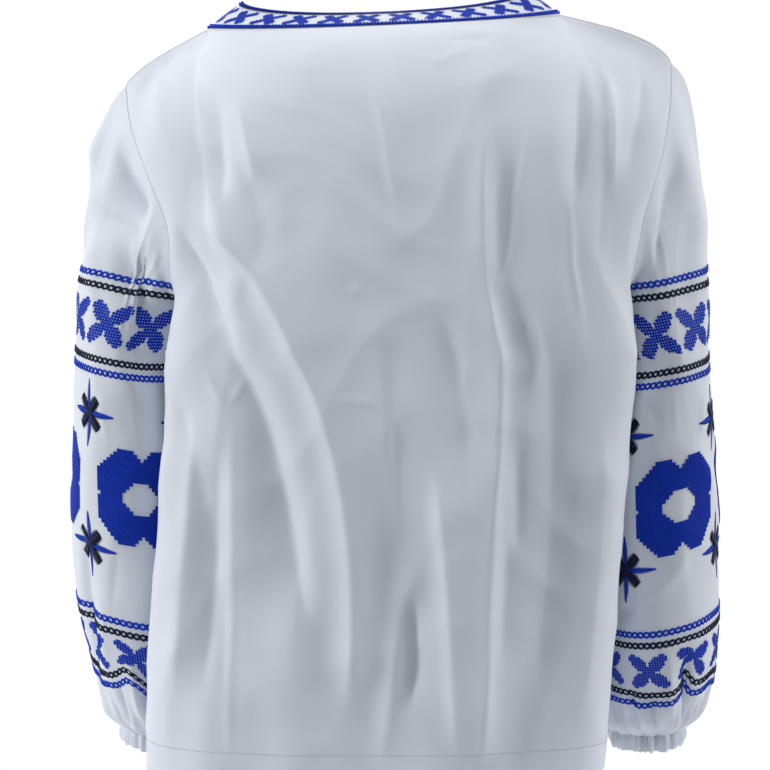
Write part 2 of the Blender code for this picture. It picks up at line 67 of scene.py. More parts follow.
# from 0 to 1, starting and ending gently
def ease(part):
    part = np.clip(part, 0.0, 1.0)
    return part * part * (3.0 - 2.0 * part)


def bezier(start, pullStart, pullEnd, end, part):
    rest = 1.0 - part
    return (rest ** 3 * start + 3.0 * rest ** 2 * part * pullStart
            + 3.0 * rest * part ** 2 * pullEnd + part ** 3 * end)


# how far along a path each of its points lies
def runLengths(points):
    steps = np.linalg.norm(np.diff(points, axis=0), axis=1)
    return np.concatenate([[0.0], np.cumsum(steps)])


# how far down a sheet its rows lie, on average
def rowsDown(grid):
    steps = np.linalg.norm(np.diff(grid, axis=0), axis=2).mean(axis=1)
    return np.concatenate([[0.0], np.cumsum(steps)])


# points of a path between its stations
def between(at, stations, points):
    return np.stack([np.interp(at, stations, points[:, axis]) for axis in range(3)], axis=1)


# points at given shares of a path's length
def spread(points, shares):
    lengths = runLengths(points)
    return between(np.asarray(shares) * lengths[-1], lengths, points)


# repeats a tube's first column at its end
def closeRing(grid):
    return np.concatenate([grid, grid[:, :1]], axis=1)


# which way the cloth faces at each point of a sheet
def gridNormals(grid, closed):
    if closed:
        along = np.roll(grid, -1, axis=1) - np.roll(grid, 1, axis=1)
    else:
        along = np.gradient(grid, axis=1)
    return unit(np.cross(np.gradient(grid, axis=0), along))


# the broad folds that the CAD solids have too, and the creases
fold = {"endFade": 0.35, "share": 0.55, "edgeFade": 0.035}
crease = {"taperShare": 0.35, "taperLongest": 0.060, "sharpness": 1.3, "panelDepth": 1.3, "edgeFade": 0.012}


# a closed sheet is looked at three laps in a row, so that a fold can cross its seam
def laps(closed):
    return (-1.0, 0.0, 1.0) if closed else (0.0,)


# broad folds, each along a straight line from one place to another
def foldRise(across, heights, folds, width, closed=False):
    total = np.zeros(np.broadcast(across, heights).shape)
    for fromShare, fromHeight, toShare, toHeight, halfWidth, rise in folds:
        start = np.array([fromShare * width, fromHeight])
        run = np.array([toShare * width, toHeight]) - start
        length = np.hypot(*run)
        for lap in laps(closed):
            awayX = (across + lap) * width - start[0]
            awayZ = heights - start[1]
            along = (awayX * run[0] + awayZ * run[1]) / length ** 2
            aside = (awayX * run[1] - awayZ * run[0]) / length
            fade = ease(along / fold["endFade"]) * ease((1.0 + fold["endFade"] - along) / fold["endFade"])
            total += rise * fade * np.exp(-(aside / halfWidth) ** 2)
    return total


# a path with its corners rounded, cutting each twice
def rounded(path):
    for _ in range(2):
        early = 0.75 * path[:-1] + 0.25 * path[1:]
        late = 0.25 * path[:-1] + 0.75 * path[1:]
        inner = np.stack([early, late], axis=1).reshape(-1, 2)
        path = np.concatenate([path[:1], inner[1:-1], path[-1:]])
    return path


# creases along given paths, tapering off at both ends
def creaseRise(across, heights, creases, width, closed=False):
    total = np.zeros(np.broadcast(across, heights).shape)
    for path, halfLeft, halfRight, rise in creases:
        path = rounded(np.array(path)) * (width, 1.0)
        lengths = np.hypot(*np.diff(path, axis=0).T)
        whole = lengths.sum()
        taper = min(crease["taperShare"] * whole, crease["taperLongest"])
        for lap in laps(closed):
            nearest = np.full(total.shape, 1e9)
            aside = np.zeros(total.shape)
            travelled = np.zeros(total.shape)
            before = 0.0
            for start, end, length in zip(path[:-1], path[1:], lengths):
                run = (end - start) / length
                awayX = (across + lap) * width - start[0]
                awayZ = heights - start[1]
                along = np.clip(awayX * run[0] + awayZ * run[1], 0.0, length)
                offX = awayX - along * run[0]
                offZ = awayZ - along * run[1]
                apart = np.hypot(offX, offZ)
                closer = apart < nearest
                nearest = np.where(closer, apart, nearest)
                aside = np.where(closer, np.sign(awayX * run[1] - awayZ * run[0]) * apart, aside)
                travelled = np.where(closer, before + along, travelled)
                before += length
            half = np.where(aside > 0.0, halfLeft, halfRight)
            fade = ease(travelled / taper) * ease((whole - travelled) / taper)
            total += rise * fade * np.exp(-np.abs(aside / half) ** crease["sharpness"])
    return total


# faint pressed facets all over the cloth: warped sharp-crested waves in several directions;
# the odd numbers only keep the waves from falling in step
crumple = {
    "waves": [  # direction, period, height
        (0.9, 0.052, 0.00065),
        (2.2, 0.071, 0.00085),
        (0.2, 0.088, 0.00080),
        (1.6, 0.046, 0.00045),
        (2.8, 0.060, 0.00060),
    ],
    "panelShare": 1.3,
    "sleeveShare": 1.8,
    "backSeed": 1.0,
    "frontSeed": 4.0,
    "sleeveSeed": 2.0,
}


def crumpleRise(x, z, seed):
    total = np.zeros(np.broadcast(x, z).shape)
    warp = np.sin(31.0 * x + 17.0 * z + seed) + 0.6 * np.sin(23.0 * z - 41.0 * x + 2.0 * seed)
    for k, (direction, period, high) in enumerate(crumple["waves"]):
        turned = direction + 0.35 * np.sin(seed + 1.7 * k)
        phase = (math.cos(turned) * x + math.sin(turned) * z) * math.pi / period + 0.9 * warp + 1.3 * seed + k
        patchy = 0.5 + 0.5 * np.sin(19.0 * x * math.sin(k + seed) + 15.0 * z * math.cos(2.0 * k) + 2.1 * k)
        total += high * patchy * (0.6 - np.abs(np.sin(phase)))
    return total


def addMesh(shape, name, smooth=True):
    for face in shape.faces:
        face.smooth = smooth
    mesh = bpy.data.meshes.new(name)
    shape.to_mesh(mesh)
    shape.free()
    item = bpy.data.objects.new(name, mesh)
    bpy.context.scene.collection.objects.link(item)
    return item


# one sheet of cloth from a grid of points: a bmesh grid moved into place, with its flat size as UVs
def clothSheet(name, points, flat, closed, facing):
    rows, columns = points.shape[:2]
    shape = bmesh.new()
    bmesh.ops.create_grid(shape, x_segments=columns - 1, y_segments=rows - 1, size=1.0)
    uvLayer = shape.loops.layers.uv.new("flat")
    places = []
    for vert in shape.verts:
        column = round((vert.co.x + 1.0) * 0.5 * (columns - 1))
        row = round((vert.co.y + 1.0) * 0.5 * (rows - 1))
        places.append((row, column))
        vert.co = points[row, column]
    for face in shape.faces:
        for loop in face.loops:
            loop[uvLayer].uv = flat[places[loop.vert.index]]
    shape.faces.ensure_lookup_table()
    middle = shape.faces[len(shape.faces) // 2]
    middle.normal_update()
    if middle.normal.dot(Vector(facing[places[middle.verts[0].index]])) < 0.0:
        bmesh.ops.reverse_faces(shape, faces=shape.faces[:])
    if closed:
        bmesh.ops.remove_doubles(shape, verts=shape.verts[:], dist=1e-6)
    return addMesh(shape, name)


# gives a sheet its thickness and its cloth, in place of the CAD solid
def finishSheet(item, node, material):
    wall = item.modifiers.new("wall", "SOLIDIFY")
    wall.thickness = clothThick
    wall.offset = -1.0
    wall.use_rim = True
    item.data.materials.append(material)
    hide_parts(node)
    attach(item, "root")


# materials

def newMaterial(name):
    material = bpy.data.materials.new(name)
    material.use_nodes = True
    return material, material.node_tree.nodes, material.node_tree.links


def addNode(nodes, kind, **values):
    node = nodes.new(kind)
    for key, value in values.items():
        if key in node.inputs:
            node.inputs[key].default_value = value
        else:
            setattr(node, key, value)
    return node


def colorMix(nodes, first, second):
    node = addNode(nodes, "ShaderNodeMix", data_type="RGBA")
    for socket in node.inputs:
        if socket.type == "RGBA":
            socket.default_value = first if socket.name == "A" else second
    return node


# plain-woven cotton: threads both ways on the flat cut, faint cloudiness, small crumples and creases
poplin = {
    "light": (0.715, 0.765, 0.850, 1.0),
    "shade": (0.680, 0.733, 0.828, 1.0),
    "roughness": 0.82,
    "sheen": 0.25,
    "sheenRoughness": 0.45,
    "specular": 0.25,
    "cloudSize": 9.0,
    "threadPitch": 0.00042,
    "weaveBump": 0.10,
    "weaveHeight": 0.0001,
    "crumpleSize": 60.0,
    "crumpleBump": 0.35,
    "trimBump": 0.2,
    "casingBump": 0.3,
    "crumpleHeight": 0.0009,
    "creaseSize": 15.0,
    "creaseBump": 0.60,
    "creaseHeight": 0.0040,
    "creaseStretch": (1.0, 1.0, 0.55),  # creases run more down than across
}


def poplinMaterial(name, crumpleBump):
    material, nodes, links = newMaterial(name)
    shader = nodes["Principled BSDF"]
    shader.inputs["Roughness"].default_value = poplin["roughness"]
    shader.inputs["Sheen Weight"].default_value = poplin["sheen"]
    shader.inputs["Sheen Roughness"].default_value = poplin["sheenRoughness"]
    shader.inputs["Specular IOR Level"].default_value = poplin["specular"]
    place = addNode(nodes, "ShaderNodeTexCoord")
    cloud = addNode(nodes, "ShaderNodeTexNoise", Scale=poplin["cloudSize"], Detail=3.0)
    links.new(place.outputs["Object"], cloud.inputs["Vector"])
    tint = colorMix(nodes, poplin["shade"], poplin["light"])
    links.new(cloud.outputs["Fac"], tint.inputs["Factor"])
    links.new(tint.outputs[2], shader.inputs["Base Color"])
    flat = addNode(nodes, "ShaderNodeUVMap", uv_map="flat")
    threads = []
    for direction in ("X", "Y"):
        wave = addNode(nodes, "ShaderNodeTexWave", wave_type="BANDS", bands_direction=direction,
                       Scale=math.pi / 10.0 / poplin["threadPitch"], Distortion=0.0)
        links.new(flat.outputs["UV"], wave.inputs["Vector"])
        threads.append(wave.outputs["Fac"])
    weave = addNode(nodes, "ShaderNodeMath", operation="MAXIMUM")
    for socket, height in zip(weave.inputs, threads):
        links.new(height, socket)
    small = addNode(nodes, "ShaderNodeTexNoise", Scale=poplin["crumpleSize"], Detail=4.0, Roughness=0.55)
    links.new(place.outputs["Object"], small.inputs["Vector"])
    stretched = addNode(nodes, "ShaderNodeMapping", Scale=poplin["creaseStretch"])
    links.new(place.outputs["Object"], stretched.inputs["Vector"])
    ridges = addNode(nodes, "ShaderNodeTexNoise", noise_type="RIDGED_MULTIFRACTAL", normalize=True,
                     Scale=poplin["creaseSize"], Detail=3.0, Roughness=0.45, Distortion=0.6)
    links.new(stretched.outputs["Vector"], ridges.inputs["Vector"])
    # the three kinds of relief, each laid on the one before
    normal = None
    for height, strength, distance in (
        (weave.outputs[0], poplin["weaveBump"], poplin["weaveHeight"]),
        (small.outputs["Fac"], crumpleBump, poplin["crumpleHeight"]),
        (ridges.outputs["Fac"], poplin["creaseBump"], poplin["creaseHeight"]),
    ):
        bump = addNode(nodes, "ShaderNodeBump", Strength=strength, Distance=distance)
        links.new(height, bump.inputs["Height"])
        if normal:
            links.new(normal, bump.inputs["Normal"])
        normal = bump.outputs["Normal"]
    links.new(normal, shader.inputs["Normal"])
    return material


bodyCloth = poplinMaterial("body poplin", poplin["crumpleBump"])
sleeveCloth = poplinMaterial("sleeve poplin", poplin["crumpleBump"])
trimGround = poplinMaterial("neck trim ground", poplin["trimBump"])
casingCloth = poplinMaterial("casing poplin", poplin["casingBump"])


# the panels

# trunk, in metres, as the CAD solids have it
body = {
    "hemHeight": -0.550,
    "hemSideRise": 0.008,
    "underarm": -0.230,
    "shoulderHalf": 0.2200,
    "swellLeft": 0.006,
    "swellRight": 0.010,
    "swellOutward": 0.55,
    "tilt": 0.042,
    "tiltFadesAt": -0.200,
    "width": 0.520,
    "shoulderColumns": 6,
    "neckColumns": 16,
    "upperRows": 16,
    "lowerRows": 9,
}
pull = {"side": 0.40, "corner": 0.75, "middle": 0.62, "upright": 0.55, "top": 0.25}
trunkColumns = ("height", "leftEdge", "rightEdge", "leftSeam", "rightSeam", "edgeDepth", "back", "front")
trunkRows = np.array([
    (-0.555, 0.1985, -0.1600, 0.1560, -0.1490, 0.050, 0.124, -0.120),
    (-0.480, 0.1960, -0.1660, 0.1550, -0.1500, 0.054, 0.119, -0.117),
    (-0.400, 0.1920, -0.1715, 0.1545, -0.1510, 0.056, 0.115, -0.115),
    (-0.320, 0.1880, -0.1780, 0.1540, -0.1520, 0.056, 0.112, -0.115),
    (-0.230, 0.1840, -0.1860, 0.1540, -0.1540, 0.052, 0.111, -0.117),
    (-0.190, 0.1835, -0.1880, 0.1550, -0.1560, 0.050, 0.112, -0.118),
])
frontEdge = {"out": 0.002, "depth": 0.045}
armholeColumns = ("left", "right", "backDepth", "frontIn", "frontDepth", "height", "cutIn")
armholeRows = np.array([
    (0.1540, 0.1540, 0.000, 0.000, 0.000, -0.2300, 0.000),
    (0.1586, 0.1590, 0.014, 0.003, -0.015, -0.2160, 0.030),
    (0.1690, 0.1700, 0.029, 0.012, -0.032, -0.1960, 0.065),
    (0.1790, 0.1830, 0.048, 0.021, -0.050, -0.1660, 0.105),
    (0.1805, 0.1900, 0.060, 0.012, -0.059, -0.1250, 0.118),
    (0.1970, 0.2050, 0.053, 0.008, -0.053, -0.0790, 0.090),
    (0.2120, 0.2150, 0.032, 0.004, -0.032, -0.0370, 0.045),
    (0.2200, 0.2200, 0.000, 0.000, 0.000, 0.0000, 0.000),
])
armholeReach = 0.42
tangentStep = 0.020

# the neck's seam and its open mouth: half width, heights and depths at the side, back and front
neckShift = 0.012
neckRoundness = 2.3
neckDip = {"back": 1.2, "front": 1.8}
neckSeam = {
    "half": 0.1420, "sideHeight": 0.0450, "sideDepth": -0.008,
    "backHeight": 0.0300, "backDepth": 0.0640, "frontHeight": -0.0560, "frontDepth": -0.1050,
}
neckMouth = {
    "half": 0.1130, "sideHeight": 0.0660, "sideDepth": -0.008,
    "backHeight": 0.0455, "backDepth": 0.0310, "frontHeight": -0.0210, "frontDepth": -0.0960,
}


def trunkValue(name, height):
    return smoothThrough(height, trunkRows[:, 0], trunkRows[:, trunkColumns.index(name)])


# level cut of the trunk's back or front, from the left seam to the right one
def section(height, back, shares):
    part = np.linspace(0.0, 1.0, curvePoints["section"])[:, None]
    halves = []
    middleX = 0.5 * (trunkValue("leftEdge", height) + trunkValue("rightEdge", height))
    for side in ("left", "right"):
        seamX = trunkValue(side + "Seam", height)
        if back:
            edgeX = trunkValue(side + "Edge", height)
            edgeY = trunkValue("edgeDepth", height)
            middleY = trunkValue("back", height)
        else:
            edgeX = seamX + np.sign(seamX) * frontEdge["out"]
            edgeY = -frontEdge["depth"]
            middleY = trunkValue("front", height)
        seam = np.array([seamX, 0.0])
        edge = np.array([edgeX, edgeY])
        middle = np.array([middleX, middleY])
        toward = np.array([0.0, edgeY])
        first = bezier(seam, seam + pull["side"] * toward, edge - pull["side"] * toward, edge, part)
        onward = np.array([0.0, pull["corner"] * (middleY - edgeY)])
        inward = np.array([pull["middle"] * (edgeX - middleX), 0.0])
        second = bezier(edge, edge + onward, middle + inward, middle, part)
        halves.append(np.concatenate([first, second[1:]]))
    outline = np.concatenate([halves[0], halves[1][::-1][1:]])
    level = np.full((len(outline), 1), height)
    return spread(np.concatenate([outline, level], axis=1), shares)


# the back or front half of a ring round the neck, from left to right
def neckRing(back, share, size):
    where = "back" if back else "front"
    turn = np.linspace(0.0, np.pi, curvePoints["neck"])
    across = np.sign(np.cos(turn)) * np.abs(np.cos(turn)) ** (2.0 / neckRoundness)
    deep = np.sin(turn) ** (2.0 / neckRoundness)
    ring = np.stack([
        neckShift + size["half"] * across,
        size["sideDepth"] + (size[where + "Depth"] - size["sideDepth"]) * deep,
        size["sideHeight"] + (size[where + "Height"] - size["sideHeight"]) * deep ** neckDip[where],
    ], axis=1)
    return spread(ring, share)


# shoulder seam, neck and shoulder seam, with the way the cloth runs up into them
def panelTop(back, countShoulder, countNeck):
    share = np.linspace(0.0, 1.0, countNeck + 1)
    neck = neckRing(back, share, neckSeam)
    mouth = neckRing(back, share, neckMouth)
    along = unit(np.gradient(neck, axis=0))
    rise = unit(mouth - neck)
    upward = unit(along[:, :1] * rise - rise[:, :1] * along)
    sign = -1.0 if back else 1.0
    upward *= np.sign(upward[:, 1:2] * sign + 1e-9)
    part = np.linspace(0.0, 1.0, countShoulder + 1)[:-1, None]
    shoulder = np.array([body["shoulderHalf"], 0.0, 0.0])
    left = shoulder * (1.0 - part) + neck[0] * part
    right = -shoulder * (1.0 - part) + neck[-1] * part
    swell = np.sin(np.pi * part[:, 0] ** body["swellOutward"])
    left[:, 2] += body["swellLeft"] * swell
    right[:, 2] += body["swellRight"] * swell
    level = np.array([0.0, sign, 0.0])
    overLeft = level + part * (upward[0] - level)
    overRight = level + part * (upward[-1] - level)
    points = np.concatenate([left, neck, right[::-1]])
    return points, unit(np.concatenate([overLeft, upward, overRight[::-1]]))


# the panel's edge at one armhole, from the underarm up, and how far the cloth is cut in there
def armhole(side, back, shares):
    stations = np.arange(len(armholeRows), dtype=float)
    fine = np.linspace(0.0, stations[-1], curvePoints["armhole"])

    def value(name):
        return smoothThrough(fine, stations, armholeRows[:, armholeColumns.index(name)])

    out = value("left" if side > 0 else "right")
    depth = value("backDepth") if back else value("frontDepth")
    if not back:
        out = out - value("frontIn")
    edge = np.stack([side * out, depth, value("height")], axis=1)
    lengths = runLengths(edge)
    return spread(edge, shares), np.interp(shares, lengths / lengths[-1], value("cutIn"))


# back or front as rows of points, from the hem to the shoulders and neck
def panelGrid(back):
    countShoulder = body["shoulderColumns"] * finer["across"]
    countNeck = body["neckColumns"] * finer["across"]
    total = 2 * countShoulder + countNeck
    across = np.arange(total + 1) / total
    heights = np.linspace(body["hemHeight"], body["underarm"], body["lowerRows"] * finer["lower"] + 1)
    lower = np.stack([section(height, back, across) for height in heights])
    hemFade = ease((body["underarm"] - heights) / (body["underarm"] - body["hemHeight"]))[:, None]
    lower[..., 2] += body["hemSideRise"] * hemFade * np.abs(2.0 * across - 1.0) ** 3
    rows = np.linspace(0.0, 1.0, body["upperRows"] * finer["upper"] + 1)
    top, upward = panelTop(back, 2 * countShoulder, 2 * countNeck)
    places = np.arange(2 * total + 1) / (2 * total)
    base = section(body["underarm"], back, places)
    below = section(body["underarm"] - tangentStep, back, places)
    tall = top[:, 2:3] - base[:, 2:3]
    pullStart = base + pull["upright"] * tall * unit(base - below)
    pullEnd = top - pull["top"] * tall * upward
    part = np.linspace(0.0, 1.0, curvePoints["column"])[:, None, None]
    columns = bezier(base, pullStart, pullEnd, top, part)
    sheet = np.stack([spread(columns[:, i], rows) for i in range(len(places))], axis=1)
    leftEdge, leftCut = armhole(1, back, rows)
    rightEdge, rightCut = armhole(-1, back, rows)
    upper = []
    for k in range(len(rows)):
        wanted = leftCut[k] + (1.0 - leftCut[k] - rightCut[k]) * across
        row = between(wanted, places, sheet[k])
        leftHold = ease(1.0 - across / armholeReach)[:, None]
        rightHold = ease(1.0 - (1.0 - across) / armholeReach)[:, None]
        upper.append(row + leftHold * (leftEdge[k] - row[0]) + rightHold * (rightEdge[k] - row[-1]))
    return np.concatenate([lower, np.array(upper)[1:]]), across


# the right shoulder is held a little higher, fading out down the trunk
def settled(points):
    fade = ease(1.0 - points[..., 2] / body["tiltFadesAt"])
    moved = points.copy()
    moved[..., 2] -= body["tilt"] * points[..., 0] * fade
    return moved


# folds: from share, from height, to share, to height, half width, rise
backFolds = [
    (0.10, -0.060, 0.26, -0.230, 0.012, 0.0050),
    (0.22, -0.050, 0.24, -0.150, 0.014, -0.0040),
    (0.29, -0.200, 0.27, -0.560, 0.016, 0.0050),
    (0.38, -0.330, 0.40, -0.560, 0.020, 0.0060),
    (0.50, -0.120, 0.51, -0.560, 0.018, -0.0060),
    (0.60, -0.250, 0.60, -0.560, 0.020, 0.0060),
    (0.72, -0.300, 0.71, -0.560, 0.018, -0.0050),
    (0.70, -0.030, 0.66, -0.200, 0.016, -0.0040),
    (0.84, -0.250, 0.82, -0.560, 0.018, 0.0050),
]
frontFolds = [
    (0.24, -0.100, 0.27, -0.560, 0.018, 0.0050),
    (0.40, -0.150, 0.38, -0.560, 0.020, -0.0050),
    (0.52, -0.200, 0.53, -0.560, 0.022, 0.0060),
    (0.64, -0.160, 0.65, -0.560, 0.020, -0.0050),
    (0.78, -0.110, 0.75, -0.560, 0.018, 0.0050),
]

# creases seen in the cloth, each a path down it with a half width on its left and its right:
# on a panel as share and height, on a sleeve as turn and way down from the armhole
backCreases = [
    ([(0.130, -0.230), (0.210, -0.300), (0.270, -0.390), (0.300, -0.500)], 0.030, 0.022, -0.0070),
    ([(0.700, -0.200), (0.740, -0.330), (0.735, -0.500)], 0.018, 0.030, -0.0060),
    ([(0.550, -0.180), (0.600, -0.280), (0.615, -0.350)], 0.012, 0.014, -0.0036),
    ([(0.030, -0.119), (0.085, -0.149), (0.138, -0.172), (0.220, -0.204), (0.278, -0.240), (0.312, -0.272),
      (0.338, -0.305), (0.362, -0.345), (0.385, -0.390), (0.405, -0.440)], 0.027, 0.009, -0.0100),
    ([(0.080, -0.106), (0.165, -0.136), (0.245, -0.166), (0.315, -0.202), (0.362, -0.234), (0.392, -0.266),
      (0.418, -0.300), (0.440, -0.340), (0.458, -0.385), (0.470, -0.440), (0.474, -0.510)],
     0.010, 0.022, 0.0080),
    ([(0.264, -0.265), (0.290, -0.400), (0.314, -0.545)], 0.0030, 0.0026, 0.0011),
    ([(0.200, -0.258), (0.214, -0.352), (0.221, -0.500)], 0.010, 0.012, 0.0040),
    ([(0.245, -0.285), (0.264, -0.384), (0.264, -0.495)], 0.010, 0.009, -0.0040),
    ([(0.242, -0.008), (0.217, -0.048), (0.184, -0.084), (0.160, -0.112)], 0.022, 0.008, -0.0068),
    ([(0.275, -0.020), (0.262, -0.060), (0.240, -0.100)], 0.008, 0.014, 0.0036),
    ([(0.471, -0.001), (0.479, -0.057), (0.482, -0.098), (0.500, -0.143)], 0.005, 0.008, 0.0018),
    ([(0.457, -0.195), (0.479, -0.262), (0.507, -0.337), (0.529, -0.380)], 0.010, 0.004, 0.0016),
    ([(0.550, -0.400), (0.557, -0.500)], 0.008, 0.010, -0.0045),
    ([(0.536, -0.400), (0.530, -0.471), (0.522, -0.550)], 0.010, 0.007, 0.0035),
    ([(0.643, -0.040), (0.637, -0.120), (0.628, -0.190)], 0.014, 0.007, 0.0034),
    ([(0.672, -0.070), (0.656, -0.175)], 0.008, 0.011, -0.0024),
    ([(0.628, -0.150), (0.640, -0.246), (0.648, -0.300), (0.650, -0.352), (0.657, -0.443), (0.664, -0.552)],
     0.018, 0.0055, 0.0066),
    ([(0.672, -0.277), (0.683, -0.337), (0.693, -0.388)], 0.007, 0.007, -0.0036),
    ([(0.672, -0.352), (0.680, -0.470)], 0.006, 0.010, -0.0040),
    ([(0.557, -0.300), (0.586, -0.380), (0.607, -0.455), (0.629, -0.545)], 0.006, 0.016, 0.0050),
    ([(0.775, 0.002), (0.790, -0.051), (0.815, -0.120)], 0.012, 0.007, -0.0058),
    ([(0.836, 0.001), (0.860, -0.057), (0.900, -0.110)], 0.009, 0.006, 0.0052),
    ([(0.925, 0.001), (0.905, -0.052), (0.914, -0.095)], 0.006, 0.008, -0.0042),
    ([(0.771, -0.096), (0.807, -0.122), (0.800, -0.169), (0.764, -0.220)], 0.0030, 0.0026, 0.0011),
    ([(0.707, -0.036), (0.707, -0.089), (0.679, -0.156), (0.636, -0.185)], 0.0030, 0.0028, 0.0012),
    ([(0.800, -0.270), (0.807, -0.383), (0.800, -0.520)], 0.014, 0.014, 0.0042),
    ([(0.800, -0.293), (0.785, -0.323), (0.764, -0.350)], 0.0028, 0.0050, 0.0013),
    ([(0.571, 0.014), (0.650, 0.015)], 0.0026, 0.0026, -0.0010),
    ([(0.557, -0.007), (0.614, 0.007)], 0.0030, 0.0026, 0.0010),
    ([(0.407, -0.262), (0.479, -0.263)], 0.0026, 0.0030, 0.0008),
    ([(0.407, -0.181), (0.436, -0.175)], 0.0030, 0.0028, 0.0008),
    ([(0.215, -0.238), (0.257, -0.269)], 0.0030, 0.0026, 0.0010),
    ([(0.257, -0.269), (0.285, -0.240)], 0.0026, 0.0030, 0.0010),
    ([(0.700, -0.187), (0.685, -0.262)], 0.006, 0.005, 0.0022),
]
frontCreases = [
    ([(0.120, -0.020), (0.200, -0.140), (0.270, -0.260), (0.300, -0.400)], 0.014, 0.008, -0.0046),
    ([(0.180, -0.060), (0.260, -0.190), (0.330, -0.330), (0.350, -0.470)], 0.014, 0.016, 0.0048),
    ([(0.880, -0.020), (0.800, -0.150), (0.740, -0.260), (0.720, -0.420)], 0.008, 0.014, -0.0046),
    ([(0.830, -0.070), (0.760, -0.190), (0.690, -0.330), (0.680, -0.500)], 0.016, 0.007, 0.0050),
    ([(0.380, -0.130), (0.410, -0.260), (0.440, -0.420), (0.430, -0.548)], 0.014, 0.006, 0.0048),
    ([(0.470, -0.240), (0.480, -0.380), (0.500, -0.530)], 0.010, 0.010, -0.0038),
    ([(0.560, -0.180), (0.580, -0.320), (0.570, -0.470), (0.585, -0.552)], 0.007, 0.015, 0.0050),
    ([(0.150, -0.300), (0.170, -0.420), (0.165, -0.530)], 0.010, 0.012, 0.0036),
    ([(0.860, -0.290), (0.850, -0.410), (0.860, -0.520)], 0.012, 0.010, 0.0036),
    ([(0.300, -0.120), (0.330, -0.200)], 0.0030, 0.0028, 0.0010),
    ([(0.640, -0.150), (0.620, -0.240)], 0.0028, 0.0030, 0.0010),
    ([(0.230, -0.360), (0.235, -0.520)], 0.0030, 0.0026, 0.0010),
    ([(0.520, -0.330), (0.560, -0.336)], 0.0028, 0.0028, 0.0008),
]


def makePanel(back):
    grid, across = panelGrid(back)
    normals = gridNormals(grid, False) * (-1.0 if back else 1.0)
    edge = np.minimum(across, 1.0 - across)[None, :] * body["width"]
    up = np.linalg.norm(grid - grid[-1], axis=2)
    rise = foldRise(across[None, :], grid[..., 2], backFolds if back else frontFolds, body["width"])
    rise *= fold["share"] * ease(edge / fold["edgeFade"]) * ease(up / fold["edgeFade"])
    creases = creaseRise(across[None, :], grid[..., 2], backCreases if back else frontCreases, body["width"])
    seed = crumple["backSeed" if back else "frontSeed"]
    facets = crumpleRise(across[None, :] * body["width"], grid[..., 2], seed)
    creases = crease["panelDepth"] * (creases + crumple["panelShare"] * facets)
    rise += creases * ease(edge / crease["edgeFade"]) * ease(up / crease["edgeFade"])
    return grid + normals * rise[..., None], normals, across


# each point's place on the flat cut, in metres, for the weave
def panelFlat(grid, across):
    flat = np.empty(grid.shape[:2] + (2,))
    flat[..., 0] = across[None, :] * body["width"]
    flat[..., 1] = rowsDown(grid)[:, None]
    return flat


sheets = {}
for name, back in (("back", True), ("front", False)):
    grid, normals, across = makePanel(back)
    sheets[name] = (grid, normals)
    item = clothSheet(name + "_panel_cloth", settled(grid), panelFlat(grid, across), False, normals)
    finishSheet(item, name + "_panel", bodyCloth)
print("panels laid out:", grid.shape)


# neck trim

trim = {"rows": 12, "swell": 0.0010, "around": 0.80}


# rings of the trim, from its seam on the panels up to the open mouth
def bandGrid():
    share = np.linspace(0.0, 1.0, body["neckColumns"] * finer["across"] + 1)
    first = body["shoulderColumns"] * finer["across"]
    columns = slice(first, first + len(share))
    seams, mouths, directions = [], [], []
    for name, step in (("back", 1), ("front", -1)):
        grid, normals = sheets[name]
        seams.append(grid[-1, columns][::step][:-1])
        directions.append(normals[-1, columns][::step][:-1])
        mouths.append(neckRing(name == "back", share, neckMouth)[::step][:-1])
    seam = np.concatenate(seams)
    parts = np.linspace(0.0, 1.0, trim["rows"] + 1)[:, None, None]
    grid = seam + parts * (np.concatenate(mouths) - seam)
    own = gridNormals(grid, True)
    own *= np.sign(np.sum(own[0] * np.concatenate(directions)))
    return grid + own * trim["swell"] * np.sin(np.pi * parts), own


def tubeFlat(grid, around):
    rows, columns = grid.shape[:2]
    flat = np.empty((rows, columns + 1, 2))
    flat[..., 0] = np.linspace(0.0, around, columns + 1)[None, :]
    flat[..., 1] = rowsDown(grid)[:, None]
    return flat


trimGrid, trimNormals = bandGrid()
item = clothSheet("neck_trim_ground", settled(closeRing(trimGrid)), tubeFlat(trimGrid, trim["around"]), True,
                  closeRing(trimNormals))
finishSheet(item, "neck_band", trimGround)


# sleeves

